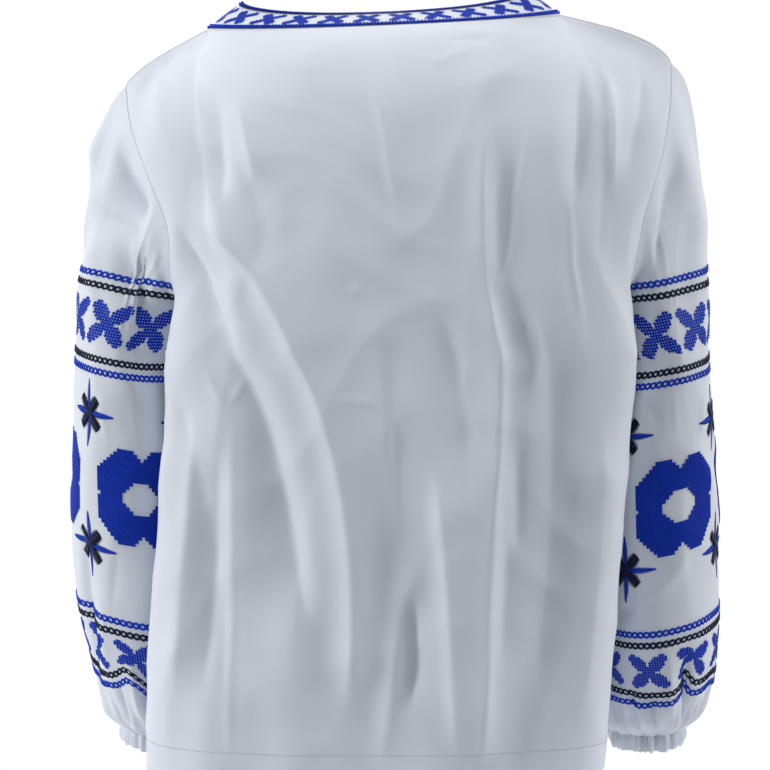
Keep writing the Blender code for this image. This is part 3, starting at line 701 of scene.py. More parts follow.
# sleeve rings below the armhole, a row each
sleeveColumns = ("height", "out", "depth", "halfAcross", "halfDeep", "leanOut", "leanBack")
sleeveRows = {
    1: np.array([
        (-0.262, 0.2185, -0.020, 0.0455, 0.070, 9.0, 7.0),
        (-0.300, 0.2170, -0.023, 0.0485, 0.072, 10.0, 8.0),
        (-0.360, 0.2155, -0.028, 0.0515, 0.073, 11.0, 9.0),
        (-0.420, 0.2130, -0.033, 0.0510, 0.071, 12.0, 9.0),
        (-0.475, 0.2075, -0.038, 0.0455, 0.064, 12.0, 9.0),
        (-0.508, 0.2025, -0.041, 0.0415, 0.057, 9.0, 7.0),
        (-0.522, 0.2000, -0.042, 0.0375, 0.050, 7.0, 5.0),
        (-0.532, 0.1965, -0.043, 0.0285, 0.038, 4.0, 3.0),
    ]),
    -1: np.array([
        (-0.262, 0.2095, -0.020, 0.0455, 0.070, 10.0, 7.0),
        (-0.300, 0.2095, -0.023, 0.0480, 0.072, 11.0, 8.0),
        (-0.360, 0.2110, -0.028, 0.0505, 0.073, 12.0, 9.0),
        (-0.420, 0.2125, -0.033, 0.0500, 0.071, 11.0, 9.0),
        (-0.475, 0.2130, -0.038, 0.0480, 0.064, 8.0, 9.0),
        (-0.508, 0.2095, -0.041, 0.0455, 0.057, 5.0, 7.0),
        (-0.522, 0.2080, -0.042, 0.0400, 0.050, 4.0, 5.0),
        (-0.532, 0.2050, -0.043, 0.0290, 0.038, 2.0, 3.0),
    ]),
}
sleeve = {
    "radius": 0.064,
    "round": 0.400,
    "capRows": 9,
    "capCrowding": 1.6,
    "capStart": 0.14,
    "capEnd": 0.30,
    "flare": 0.60,
    "underarmPull": 0.012,
    "ringStep": 0.01,
    "leaveReach": 7,
    "normalReach": 3,
    "armRows": 6,
    "gatherRows": 5,
    "gathers": 16,
    "gatherDepth": 0.0026,
    "gatherUneven": 0.25,
    "fineGathers": 29,
    "fineDepth": 0.0015,
    "fineWander": 0.35,
    "unevenWaves": 5,
    "gathersStart": -0.475,
}
# sleeve folds: from turn, from down, to turn, to down, half width, rise
sleeveFolds = [
    (0.02, 0.100, 0.24, 0.130, 0.014, 0.0050),
    (0.12, 0.160, 0.30, 0.210, 0.014, -0.0035),
    (0.08, 0.420, 0.16, 0.560, 0.014, -0.0060),
    (0.30, 0.430, 0.27, 0.560, 0.012, 0.0040),
    (0.70, 0.150, 0.86, 0.120, 0.016, 0.0040),
    (0.80, 0.400, 0.76, 0.560, 0.014, -0.0050),
]
sleeveCreases = {
    1: [
        ([(0.070, 0.016), (0.130, 0.022), (0.190, 0.020), (0.240, 0.014)], 0.009, 0.009, -0.0125),
        ([(-0.140, 0.040), (-0.020, 0.034), (0.070, 0.036)], 0.013, 0.015, 0.0085),
        ([(0.020, 0.058), (0.140, 0.045), (0.260, 0.024)], 0.007, 0.008, -0.0065),
        ([(0.150, 0.075), (0.240, 0.055), (0.330, 0.030)], 0.015, 0.018, -0.0120),
        ([(0.330, 0.020), (0.305, 0.075), (0.285, 0.140)], 0.024, 0.020, -0.0100),
        ([(0.040, 0.070), (0.120, 0.085), (0.160, 0.125)], 0.010, 0.012, 0.0035),
        ([(0.119, 0.240), (0.128, 0.300), (0.110, 0.350), (0.090, 0.400)], 0.010, 0.006, -0.0065),
        ([(0.180, 0.300), (0.170, 0.360), (0.160, 0.410)], 0.008, 0.010, 0.0030),
        ([(0.236, 0.345), (0.240, 0.380), (0.230, 0.425)], 0.007, 0.007, 0.0040),
        ([(0.290, 0.350), (0.275, 0.390), (0.265, 0.425)], 0.006, 0.007, -0.0040),
        ([(0.194, 0.149), (0.212, 0.189)], 0.004, 0.006, 0.0012),
        ([(0.280, 0.150), (0.300, 0.185)], 0.004, 0.005, 0.0010),
        ([(0.237, 0.262), (0.206, 0.318)], 0.006, 0.008, -0.0018),
        ([(0.080, 0.385), (0.105, 0.408), (0.125, 0.434)], 0.0036, 0.0045, -0.0042),
        ([(0.190, 0.375), (0.185, 0.405), (0.192, 0.434)], 0.0040, 0.0036, -0.0050),
        ([(0.285, 0.372), (0.258, 0.400), (0.232, 0.434)], 0.0036, 0.0045, -0.0046),
        ([(0.340, 0.390), (0.315, 0.434)], 0.0040, 0.0036, -0.0038),
        ([(0.030, 0.398), (0.050, 0.434)], 0.0036, 0.0042, -0.0036),
        ([(0.420, 0.380), (0.400, 0.434)], 0.0040, 0.0050, -0.0042),
        ([(0.520, 0.395), (0.530, 0.434)], 0.0040, 0.0040, -0.0036),
        ([(0.660, 0.375), (0.640, 0.434)], 0.0045, 0.0040, -0.0048),
        ([(0.860, 0.385), (0.880, 0.434)], 0.0040, 0.0045, -0.0044),
        ([(0.560, 0.060), (0.700, 0.040), (0.820, 0.030)], 0.009, 0.011, -0.0050),
        ([(0.620, 0.090), (0.740, 0.080), (0.860, 0.060)], 0.012, 0.012, 0.0040),
        ([(0.760, 0.230), (0.780, 0.320), (0.750, 0.410)], 0.008, 0.010, -0.0050),
        ([(0.620, 0.300), (0.640, 0.400)], 0.009, 0.009, 0.0035),
    ],
    -1: [
        ([(0.110, 0.016), (0.212, 0.026), (0.325, 0.032)], 0.009, 0.012, -0.0065),
        ([(0.960, 0.080), (1.060, 0.070), (1.140, 0.050)], 0.012, 0.014, 0.0030),
        ([(0.310, 0.060), (0.300, 0.100), (0.295, 0.140)], 0.020, 0.018, -0.0055),
        ([(0.320, 0.140), (0.256, 0.167)], 0.006, 0.005, -0.0030),
        ([(0.340, 0.205), (0.262, 0.190)], 0.006, 0.006, -0.0030),
        ([(0.330, 0.236), (0.272, 0.220)], 0.006, 0.006, 0.0030),
        ([(0.330, 0.300), (0.250, 0.288), (0.185, 0.262)], 0.008, 0.007, 0.0036),
        ([(0.410, 0.318), (0.319, 0.302)], 0.005, 0.005, -0.0030),
        ([(0.205, 0.335), (0.192, 0.380), (0.150, 0.428)], 0.006, 0.006, -0.0050),
        ([(0.250, 0.340), (0.236, 0.385), (0.215, 0.425)], 0.007, 0.007, 0.0036),
        ([(0.406, 0.385), (0.340, 0.425)], 0.005, 0.006, -0.0032),
        ([(0.338, 0.380), (0.262, 0.425)], 0.005, 0.006, 0.0030),
        ([(0.130, 0.150), (0.140, 0.185)], 0.004, 0.005, 0.0010),
        ([(0.230, 0.140), (0.222, 0.175)], 0.004, 0.005, 0.0010),
        ([(0.195, 0.352), (0.180, 0.385), (0.165, 0.436)], 0.0036, 0.0045, -0.0062),
        ([(0.225, 0.378), (0.215, 0.410), (0.210, 0.436)], 0.0040, 0.0036, 0.0026),
        ([(0.290, 0.372), (0.268, 0.400), (0.238, 0.436)], 0.0036, 0.0050, -0.0048),
        ([(0.355, 0.366), (0.330, 0.400), (0.290, 0.436)], 0.0045, 0.0036, -0.0050),
        ([(0.395, 0.380), (0.375, 0.410), (0.345, 0.436)], 0.0036, 0.0045, -0.0040),
        ([(0.130, 0.392), (0.118, 0.436)], 0.0040, 0.0036, -0.0040),
        ([(0.070, 0.380), (0.085, 0.436)], 0.0040, 0.0045, -0.0044),
        ([(0.470, 0.385), (0.450, 0.436)], 0.0040, 0.0045, -0.0040),
        ([(0.600, 0.380), (0.620, 0.436)], 0.0045, 0.0040, -0.0046),
        ([(0.780, 0.390), (0.770, 0.436)], 0.0040, 0.0045, -0.0040),
        ([(0.910, 0.376), (0.930, 0.436)], 0.0045, 0.0040, -0.0044),
        ([(0.560, 0.055), (0.700, 0.042), (0.820, 0.034)], 0.009, 0.011, -0.0045),
        ([(0.620, 0.095), (0.740, 0.082), (0.860, 0.064)], 0.012, 0.012, 0.0036),
        ([(0.790, 0.250), (0.770, 0.330), (0.740, 0.410)], 0.008, 0.010, -0.0045),
        ([(0.600, 0.310), (0.650, 0.400)], 0.009, 0.009, 0.0032),
    ],
}


# one ring round the arm, leaning out and back as the sleeve hangs
def sleeveRing(side, height, turns):
    rows = sleeveRows[side]

    def value(name):
        return smoothThrough(height, rows[::-1, 0], rows[::-1, sleeveColumns.index(name)])

    angle = 2.0 * np.pi * turns
    out = value("halfAcross") * np.cos(angle)
    deep = value("halfDeep") * np.sin(angle)
    leanOut = np.tan(np.radians(value("leanOut")))
    leanBack = np.tan(np.radians(value("leanBack")))
    return np.stack([
        side * (value("out") + out),
        value("depth") + deep,
        height + leanOut * out - leanBack * deep,
    ], axis=1)


# the armhole's edge on the panels, all round: its points and its normals
def armholeRing(side):
    column = 0 if side > 0 else -1
    first = body["lowerRows"] * finer["lower"]
    rings = []
    for backValues, frontValues in zip(sheets["back"], sheets["front"]):
        upTheBack = backValues[first:, column][::-1]
        rings.append(np.concatenate([upTheBack[:-1], frontValues[first:, column][:-1]]))
    return rings


# directions round a sleeve turn evenly past the corners at the shoulder and underarm
def turnEvenly(directions, reach):
    for corner in (0, directions.shape[-2] // 2):
        before = directions[..., corner - reach, :].copy()
        after = directions[..., corner + reach, :].copy()
        for step in range(1 - reach, reach):
            part = (step + reach) / (2.0 * reach)
            directions[..., corner + step, :] = unit(before * (1.0 - part) + after * part)


# the small gathers that elastic makes, wandering a little so that no two are alike
def fineGathers(turns):
    wander = sleeve["fineWander"] * np.sin(14.0 * np.pi * turns)
    return np.cos(2.0 * np.pi * (sleeve["fineGathers"] * turns + wander))


# the sleeve's head, from the armhole to its first ring
def sleeveCap(ring, ringNormals, side, turns):
    along = unit(np.roll(ring, -1, axis=0) - np.roll(ring, 1, axis=0))
    square = unit(np.cross(along, ringNormals)) * side
    low = np.sin(np.pi * turns)[:, None] ** 2
    leave = unit(square + sleeve["flare"] * low * (ringNormals - square))
    turnEvenly(leave, sleeve["leaveReach"])
    top = sleeveRows[side][0, 0]
    first = sleeveRing(side, top, turns)
    second = sleeveRing(side, top - sleeve["ringStep"], turns)
    chord = np.linalg.norm(first - ring, axis=1, keepdims=True)
    start = ring + (sleeve["capStart"] * chord + sleeve["underarmPull"] * low) * leave
    end = first - sleeve["capEnd"] * chord * unit(second - first)
    count = sleeve["capRows"] * finer["cap"]
    parts = (np.arange(count) / count)[:, None, None] ** sleeve["capCrowding"]
    return bezier(ring, start, end, first, parts)


# how far the cloth stands out at each point: folds, creases, crumples and the gathers above the wrist
def sleeveRise(side, turns, down, grow):
    across = turns[None, :]
    rise = foldRise(across, down[:, None], sleeveFolds, sleeve["round"], True)
    rise *= fold["share"] * ease(down / fold["edgeFade"])[:, None]
    creases = creaseRise(across, down[:, None], sleeveCreases[side], sleeve["round"], True)
    facets = crumpleRise(sleeve["radius"] * np.cos(2.0 * np.pi * across),
                         down[:, None] + sleeve["radius"] * np.sin(2.0 * np.pi * across),
                         crumple["sleeveSeed"] + side)
    rise += (creases + crumple["sleeveShare"] * facets) * ease(down / crease["edgeFade"])[:, None]
    wave = np.cos(2.0 * np.pi * sleeve["gathers"] * turns)
    uneven = 1.0 - sleeve["gatherUneven"] * (1.0 - np.cos(2.0 * np.pi * sleeve["unevenWaves"] * turns))
    rise += sleeve["gatherDepth"] * grow * wave * uneven
    return rise + sleeve["fineDepth"] * grow ** 2 * fineGathers(turns)


def sleeveGrid(side):
    ring, ringNormals = armholeRing(side)
    rows = sleeveRows[side]
    turns = np.arange(len(ring)) / len(ring)
    cap = sleeveCap(ring, ringNormals, side, turns)
    bottom = rows[-1, 0]
    gathers = sleeve["gathersStart"]
    armHeights = np.linspace(rows[0, 0], gathers, sleeve["armRows"] * finer["arm"] + 1)
    lowHeights = np.linspace(gathers, bottom, sleeve["gatherRows"] * finer["gather"] + 1)
    heights = np.concatenate([armHeights, lowHeights[1:]])
    arm = np.stack([sleeveRing(side, height, turns) for height in heights])
    grid = np.concatenate([cap, arm])
    normals = gridNormals(grid, True) * side
    turnEvenly(normals, sleeve["normalReach"])
    ringLevels = np.concatenate([np.full(len(cap), 1.0), heights])
    grow = ease((gathers - ringLevels) / (gathers - bottom))[:, None]
    rise = sleeveRise(side, turns, rowsDown(grid), grow)
    normals[..., 2] *= 1.0 - grow
    normals = unit(normals)
    # the level of each point, as if the sleeve's rings lay flat
    first = dict(zip(sleeveColumns, rows[0]))
    capLevels = cap[..., 2] - np.tan(np.radians(first["leanOut"])) * (side * cap[..., 0] - first["out"])
    capLevels += np.tan(np.radians(first["leanBack"])) * (cap[..., 1] - first["depth"])
    levels = np.concatenate([capLevels, np.repeat(heights[:, None], len(turns), axis=1)])
    return grid + normals * rise[..., None], normals, levels


# the sleeve laid out level by level and evenly round, for placing stitches on it
sleevePlan = {"top": -0.100, "bottom": -0.531, "levels": 432, "columns": 240}


def sleeveMap(grid, levels):
    wanted = np.linspace(sleevePlan["top"], sleevePlan["bottom"], sleevePlan["levels"])
    columns = [between(-wanted, -levels[:, k], grid[:, k]) for k in range(grid.shape[1])]
    rings = np.stack(columns + columns[:1], axis=1)
    shares = np.arange(sleevePlan["columns"] + 1) / sleevePlan["columns"]
    return np.stack([spread(ring, shares)[:-1] for ring in rings])


sides = ((1, "left"), (-1, "right"))
sleeves = {}
wrists = {}
armholes = {}
for side, name in sides:
    grid, normals, levels = sleeveGrid(side)
    sleeves[side] = sleeveMap(grid, levels)
    wrists[side] = grid[-1]
    armholes[side] = (grid[0], normals[0])
    item = clothSheet("sleeve_" + name + "_cloth", settled(closeRing(grid)),
                      tubeFlat(grid, sleeve["round"]), True, closeRing(normals))
    finishSheet(item, "sleeve_" + name, sleeveCloth)
print("sleeves laid out:", grid.shape)


# wrist casings

cuff = {
    "height": 0.0130,
    "around": 0.21,
    "rows": 10,
    "columns": 320,
    "swell": 0.0004,
    "swellFrom": 0.12,
    "swellOver": 0.76,
    "pinch": 0.0007,
    "pinchAt": 0.10,
    "pinchHalf": 0.07,
    "ruffleDepth": 0.0007,
    "ruffleLeast": 0.35,
    "ruffleUneven": 0.35,
    "edgeWave": 0.0005,
    "blendOver": 0.10,
}


# the casing goes on from the sleeve's last ring, pinched in at its seam and ruffled below it
def cuffGrid(side):
    turns = np.arange(cuff["columns"]) / cuff["columns"]
    ring = closeRing(wrists[side][None])[0]
    base = between(turns, np.arange(len(ring)) / (len(ring) - 1), ring)
    outward = unit((base - base.mean(axis=0)) * np.array([1.0, 1.0, 0.0]))
    parts = np.linspace(0.0, 1.0, cuff["rows"] + 1)[:, None]
    uneven = 1.0 - cuff["ruffleUneven"] * (1.0 - np.sin(10.0 * np.pi * turns + 0.7))
    ruffle = (fineGathers(turns) * uneven)[None, :]
    swell = np.sin(np.pi * np.clip((parts - cuff["swellFrom"]) / cuff["swellOver"], 0.0, 1.0))
    rise = cuff["swell"] * swell + cuff["ruffleDepth"] * ruffle * (cuff["ruffleLeast"] + swell)
    pinch = np.exp(-((parts - cuff["pinchAt"]) / cuff["pinchHalf"]) ** 2) + 2.0 * parts ** 4
    rise = rise - cuff["pinch"] * pinch
    drop = cuff["height"] * parts + cuff["edgeWave"] * parts * ruffle
    down = np.stack([np.zeros_like(drop), np.zeros_like(drop), -drop], axis=2)
    normals = np.tile(outward, (len(parts), 1, 1))
    return base[None] + down + normals * rise[..., None] * ease(parts / cuff["blendOver"])[..., None], normals


for side, name in sides:
    grid, normals = cuffGrid(side)
    item = clothSheet("cuff_" + name + "_cloth", closeRing(grid), tubeFlat(grid, cuff["around"]), True,
                      closeRing(normals))
    finishSheet(item, "cuff_" + name, casingCloth)
print("casings laid out:", grid.shape)


# stitches: small plump threads laid out flat on points, made real and then wrapped on the cloth

thread = {
    "royal": (0.007, 0.072, 0.700, 1.0),
    # the dark royal is also the darker royal copy: the edging's own dark thread, and painted shade under the
    # flowers
    "royalDark": (0.003, 0.026, 0.380, 1.0),
    "white": (0.780, 0.800, 0.840, 1.0),
    # the stitches' grey-blue, darker than the cloth, is painted shade along the seams' and hem's stitch lines
    "sewing": (0.480, 0.520, 0.610, 1.0),
    "navy": (0.009, 0.018, 0.065, 1.0),
    "navyDark": (0.004, 0.008, 0.028, 1.0),
    "roughness": 0.50,
    "sheen": 0.03,
    "specular": 0.14,
    "strandSize": 420.0,
    "strandBump": 0.4,
    "strandHeight": 0.0002,
    "sink": 0.00015,
}


def threadMaterial(name, light, dark):
    material, nodes, links = newMaterial(name)
    shader = nodes["Principled BSDF"]
    shader.inputs["Roughness"].default_value = thread["roughness"]
    shader.inputs["Sheen Weight"].default_value = thread["sheen"]
    shader.inputs["Specular IOR Level"].default_value = thread["specular"]
    place = addNode(nodes, "ShaderNodeTexCoord")
    cloud = addNode(nodes, "ShaderNodeTexNoise", Scale=thread["strandSize"], Detail=2.0)
    links.new(place.outputs["Object"], cloud.inputs["Vector"])
    tint = colorMix(nodes, thread[dark], thread[light])
    links.new(cloud.outputs["Fac"], tint.inputs["Factor"])
    links.new(tint.outputs[2], shader.inputs["Base Color"])
    strand = addNode(nodes, "ShaderNodeBump", Strength=thread["strandBump"], Distance=thread["strandHeight"])
    links.new(cloud.outputs["Fac"], strand.inputs["Height"])
    links.new(strand.outputs["Normal"], shader.inputs["Normal"])
    return material


royalThread = threadMaterial("royal blue thread", "royal", "royalDark")
# a darker copy of the royal thread: the neck edging's own dark thread, and painted shade as the flowers'
# ground
royalDarkAndShade = threadMaterial("dark royal thread and painted shade", "royalDark", "royalDark")
navyThread = threadMaterial("navy thread", "navy", "navyDark")
whiteThread = threadMaterial("white thread", "white", "white")
# the stitches' thread, darkened as painted shade along the stitch lines
shadedSewingThread = threadMaterial("shaded sewing thread", "sewing", "sewing")


# one laid thread, one long and one wide, pointed at both ends
def makeThread():
    shape = bmesh.new()
    bmesh.ops.create_uvsphere(shape, u_segments=4, v_segments=2, radius=0.5)
    return addMesh(shape, "thread_template")


# one link of a chain, a ring about one across
def makeLink(wire=0.19, ring=0.41):
    shape = bmesh.new()
    bmesh.ops.create_circle(shape, segments=4, radius=wire)
    bmesh.ops.rotate(shape, verts=shape.verts, matrix=Matrix.Rotation(math.pi / 2.0, 3, "X"))
    bmesh.ops.translate(shape, verts=shape.verts, vec=(ring, 0.0, 0.0))
    bmesh.ops.spin(shape, geom=shape.edges[:], axis=(0, 0, 1), cent=(0, 0, 0), steps=8,
                   angle=2.0 * math.pi, use_merge=True)
    bmesh.ops.remove_doubles(shape, verts=shape.verts[:], dist=1e-5)
    bmesh.ops.recalc_face_normals(shape, faces=shape.faces[:])
    return addMesh(shape, "link_template")


# a flat square under dense stitches, so that no cloth shows between them
def makePatch():
    shape = bmesh.new()
    bmesh.ops.create_grid(shape, x_segments=1, y_segments=1, size=0.5)
    return addMesh(shape, "patch_template")


# nodes that lay one template on every point, turned and sized by the point's own values
def stitchTree(template):
    tree = bpy.data.node_groups.new("lay_" + template.name, "GeometryNodeTree")
    tree.interface.new_socket("Geometry", in_out="INPUT", socket_type="NodeSocketGeometry")
    tree.interface.new_socket("Geometry", in_out="OUTPUT", socket_type="NodeSocketGeometry")
    nodes, links = tree.nodes, tree.links
    start = nodes.new("NodeGroupInput")
    end = nodes.new("NodeGroupOutput")
    source = addNode(nodes, "GeometryNodeObjectInfo", Object=template)
    lay = nodes.new("GeometryNodeInstanceOnPoints")
    turn = addNode(nodes, "GeometryNodeInputNamedAttribute", data_type="FLOAT_VECTOR", Name="turn")
    size = addNode(nodes, "GeometryNodeInputNamedAttribute", data_type="FLOAT_VECTOR", Name="size")
    real = nodes.new("GeometryNodeRealizeInstances")
    links.new(start.outputs[0], lay.inputs["Points"])
    links.new(source.outputs["Geometry"], lay.inputs["Instance"])
    links.new(turn.outputs["Attribute"], lay.inputs["Rotation"])
    links.new(size.outputs["Attribute"], lay.inputs["Scale"])
    links.new(lay.outputs["Instances"], real.inputs["Geometry"])
    links.new(real.outputs["Geometry"], end.inputs[0])
    return tree


templates = {"thread": makeThread(), "link": makeLink(), "patch": makePatch()}
trees = {key: stitchTree(item) for key, item in templates.items()}


# places: across, along, angle, long, wide and high of each stitch, in metres and radians
def stitches(name, kind, places, wrap, material, lift):
    places = np.array(places, dtype=float)
    level = np.zeros(len(places))
    points = bpy.data.meshes.new(name + "_points")
    points.vertices.add(len(places))
    points.vertices.foreach_set("co", np.column_stack([places[:, :2], level]).ravel())
    turn = points.attributes.new("turn", "FLOAT_VECTOR", "POINT")
    turn.data.foreach_set("vector", np.column_stack([level, level, places[:, 2]]).ravel())
    size = points.attributes.new("size", "FLOAT_VECTOR", "POINT")
    size.data.foreach_set("vector", places[:, 3:6].ravel())
    item = bpy.data.objects.new(name, points)
    bpy.context.scene.collection.objects.link(item)
    lay = item.modifiers.new("lay", "NODES")
    lay.node_group = trees[kind]
    graph = bpy.context.evaluated_depsgraph_get()
    mesh = bpy.data.meshes.new_from_object(item.evaluated_get(graph))
    item.modifiers.clear()
    item.data = mesh
    mesh.materials.clear()
    mesh.materials.append(material)
    flat = np.empty(len(mesh.vertices) * 3)
    mesh.vertices.foreach_get("co", flat)
    flat = flat.reshape(-1, 3)
    placed = wrap(flat[:, 0], flat[:, 1], flat[:, 2] + lift - thread["sink"])
    mesh.vertices.foreach_set("co", placed.ravel())
    mesh.update()
    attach(item, "root")
    return item


# stands stitches on a mapped surface: rows down it, columns evenly round it and joined at the end
def wrapOn(surface, across, down, high):
    rows, columns = surface.shape[:2]
    normals = gridNormals(surface, True)
    middle = surface.mean(axis=1, keepdims=True)
    normals = normals * np.sign(np.sum(normals * (surface - middle)))
    column = np.mod(across, 1.0) * columns
    row = np.clip(down, 0.0, 1.0) * (rows - 1)
    left = np.floor(column).astype(int) % columns
    top = np.minimum(row.astype(int), rows - 2)
    partAcross = (column - np.floor(column))[:, None]
    partDown = (row - top)[:, None]
    right = (left + 1) % columns
    placed = []
    for values in (surface, normals):
        upper = values[top, left] * (1.0 - partAcross) + values[top, right] * partAcross
        lower = values[top + 1, left] * (1.0 - partAcross) + values[top + 1, right] * partAcross
        placed.append(upper * (1.0 - partDown) + lower * partDown)
    return placed[0] + unit(placed[1]) * high[:, None]


# how the sleeve bands rise and dip over the creases near the wrist: turn, half width, rise
bandDips = {
    1: [(0.130, 0.030, -0.004), (0.236, 0.030, 0.010), (0.300, 0.030, -0.006), (0.62, 0.05, 0.006)],
    -1: [(0.200, 0.022, 0.011), (0.300, 0.060, -0.003), (0.100, 0.030, 0.003), (0.66, 0.05, 0.006)],
}
embroidery = {
    "girth": 0.390,
    "dipsStart": -0.440,
    "dipsFull": -0.480,
    "linkPitch": 0.0053,
    "linkSize": 0.0056,
    "linkWide": 0.92,  # as a share of its size
    "linkHigh": 0.0042,
}


def sleeveWrap(side):
    top, bottom = sleevePlan["top"], sleevePlan["bottom"]

    def wrap(x, y, z):
        around = x / embroidery["girth"]
        reach = ease((embroidery["dipsStart"] - y) / (embroidery["dipsStart"] - embroidery["dipsFull"]))
        dip = np.zeros_like(y)
        for turn, half, rise in bandDips[side]:
            dip += rise * np.exp(-((np.mod(around - turn + 0.5, 1.0) - 0.5) / half) ** 2)
        return settled(wrapOn(sleeves[side], around, (top - (y + reach * dip)) / (top - bottom), z))

    return wrap


# an X of four round petals in cross stitch; its petals are drawn on a chart of six cells a side
cross = {
    "drawnHalf": 6.0, "petalAt": 4.2, "petalHalf": 2.20, "heart": 2,
    "square": 1.04, "threadWide": 0.46, "threadHigh": 0.36,  # as shares of a cell
}


# the cells that one X fills
def crossChart(half):
    chart = []
    scale = half / cross["drawnHalf"]
    for i in range(-half, half + 1):
        for j in range(-half, half + 1):
            along = (abs(i) + abs(j)) / math.sqrt(2.0)
            aside = (abs(i) - abs(j)) / math.sqrt(2.0)
            petalAt = cross["petalAt"] * scale
            petal = ((along - petalAt) / petalAt) ** 2 + (aside / (cross["petalHalf"] * scale)) ** 2
            if petal <= 1.0 or abs(i) + abs(j) <= cross["heart"]:
                chart.append((i, j))
    return chart


# each cell holds a turned square of thread with a raised cross on it, so the corners show the cloth
def crossMotif(x, y, cell, chart, stretch):
    places, squares = [], []
    square = cell * cross["square"] * (0.5 + 0.5 * stretch)
    for i, j in chart:
        spot = (x + i * cell, y + j * cell * stretch)
        squares.append(spot + (math.pi / 4.0, square, square, 1.0))
        for angle in (math.pi / 4.0, -math.pi / 4.0):
            places.append(spot + (angle, square, cell * cross["threadWide"], cell * cross["threadHigh"]))
    return places, squares


# a broad flower: four lobes with stepped corners, notches between them and a stepped hole
flower = {
    "half": 13, "corner": 20, "notch": 3, "holeCorner": 6, "holeAcross": 5, "holeTall": 4,  # in cells
    "cell": 0.00272, "slant": 0.85,
    "patch": 1.04, "aside": 0.24, "level": 0.25,  # as shares of a cell
    "threadLong": 0.86, "threadWide": 0.50, "threadHigh": 0.34,
}


# the cells that one flower fills
def flowerChart():
    chart = []
    half = flower["half"]
    for i in range(-half, half + 1):
        for j in range(-half, half + 1):
            a, b = abs(i), abs(j)
            inside = a + b <= flower["corner"]
            notch = b > half - flower["notch"] + a or (a == half and b == 0)
            hole = a + b <= flower["holeCorner"] and a <= flower["holeAcross"] and b <= flower["holeTall"]
            if inside and not notch and not hole:
                chart.append((i, j))
    return chart


# four slanting threads on a dark patch in each cell; the patch is painted shade in the gaps between the
# threads
def flowerMotif(x, y):
    laid, patches = [], []
    cell = flower["cell"]
    patch = cell * flower["patch"]
    threadSize = (cell * flower["threadLong"], cell * flower["threadWide"], cell * flower["threadHigh"])
    for i, j in flowerChart():
        patches.append((x + i * cell, y + j * cell, 0.0, patch, patch, 1.0))
        for level in (-flower["level"], flower["level"]):
            for part in (-1, 1):
                laid.append((x + (i + flower["aside"] * part) * cell, y + (j + level) * cell,
                             part * flower["slant"]) + threadSize)
    return laid, patches


# a star: four thin rays up, down and across, and four broad petals on the diagonals
star = {
    "ray": {"long": 0.0265, "half": 0.0032, "widestAt": 0.45, "tip": 0.28, "turn": 0.0},
    "petal": {"long": 0.0165, "half": 0.0058, "widestAt": 0.60, "tip": 0.82, "turn": 0.5},
    "start": 0.40, "pitch": 0.0009, "threadWide": 1.9, "threadHigh": 0.8,  # widths as shares of the pitch
}


# satin threads side by side across one ray or petal
def satinLeaf(x, y, angle, leaf):
    places = []
    count = int(leaf["long"] / star["pitch"])
    for k in range(count):
        part = (k + 0.5) / count
        if part < leaf["widestAt"]:
            swell = math.sin(0.5 * math.pi * part / leaf["widestAt"])
            wide = star["start"] + (1.0 - star["start"]) * swell
        else:
            swell = math.cos(0.5 * math.pi * (part - leaf["widestAt"]) / (1.0 - leaf["widestAt"]))
            wide = leaf["tip"] + (1.0 - leaf["tip"]) * swell
        out = leaf["long"] * part
        places.append((x + out * math.cos(angle), y + out * math.sin(angle), angle + math.pi / 2.0,
                       2.0 * leaf["half"] * wide, star["pitch"] * star["threadWide"],
                       star["pitch"] * star["threadHigh"]))
    return places


def starMotif(x, y):
    laid = {"ray": [], "petal": []}
    for k in range(4):
        for kind in laid:
            laid[kind] += satinLeaf(x, y, 0.5 * math.pi * (k + star[kind]["turn"]), star[kind])
    return laid["ray"], laid["petal"]


# a row of chain links all round the sleeve
def chainRow(level):
    count = round(embroidery["girth"] / embroidery["linkPitch"])
    step = embroidery["girth"] / count
    size = embroidery["linkSize"]
    link = (size, size * embroidery["linkWide"], embroidery["linkHigh"])
    return [(k * step, level, 0.0) + link for k in range(count)]


# what each sleeve carries: levels down it, and for crosses and flowers how many and the first one's turn
sleeveWork = {
    1: {
        "royalChains": (-0.1570, -0.2340, -0.4275, -0.4850),
        "navyChains": (-0.1665, -0.2245, -0.4365, -0.4760),
        "upperCross": (-0.1955, 10, 0.285), "lowerCross": (-0.4565, 9, 0.262),
        "flowers": (-0.3270, 4, 0.292), "stars": (-0.2680, -0.3720),
    },
    -1: {
        "royalChains": (-0.1610, -0.2400, -0.4340, -0.4930),
        "navyChains": (-0.1710, -0.2310, -0.4430, -0.4840),
        "upperCross": (-0.2010, 10, 0.253), "lowerCross": (-0.4640, 9, 0.300),
        "flowers": (-0.3355, 4, 0.222), "stars": (-0.2780, -0.3810),
    },
}
crossCell = {"upper": 0.00235, "lower": 0.00230, "upperStretch": 1.0, "lowerStretch": 0.80, "half": 7}


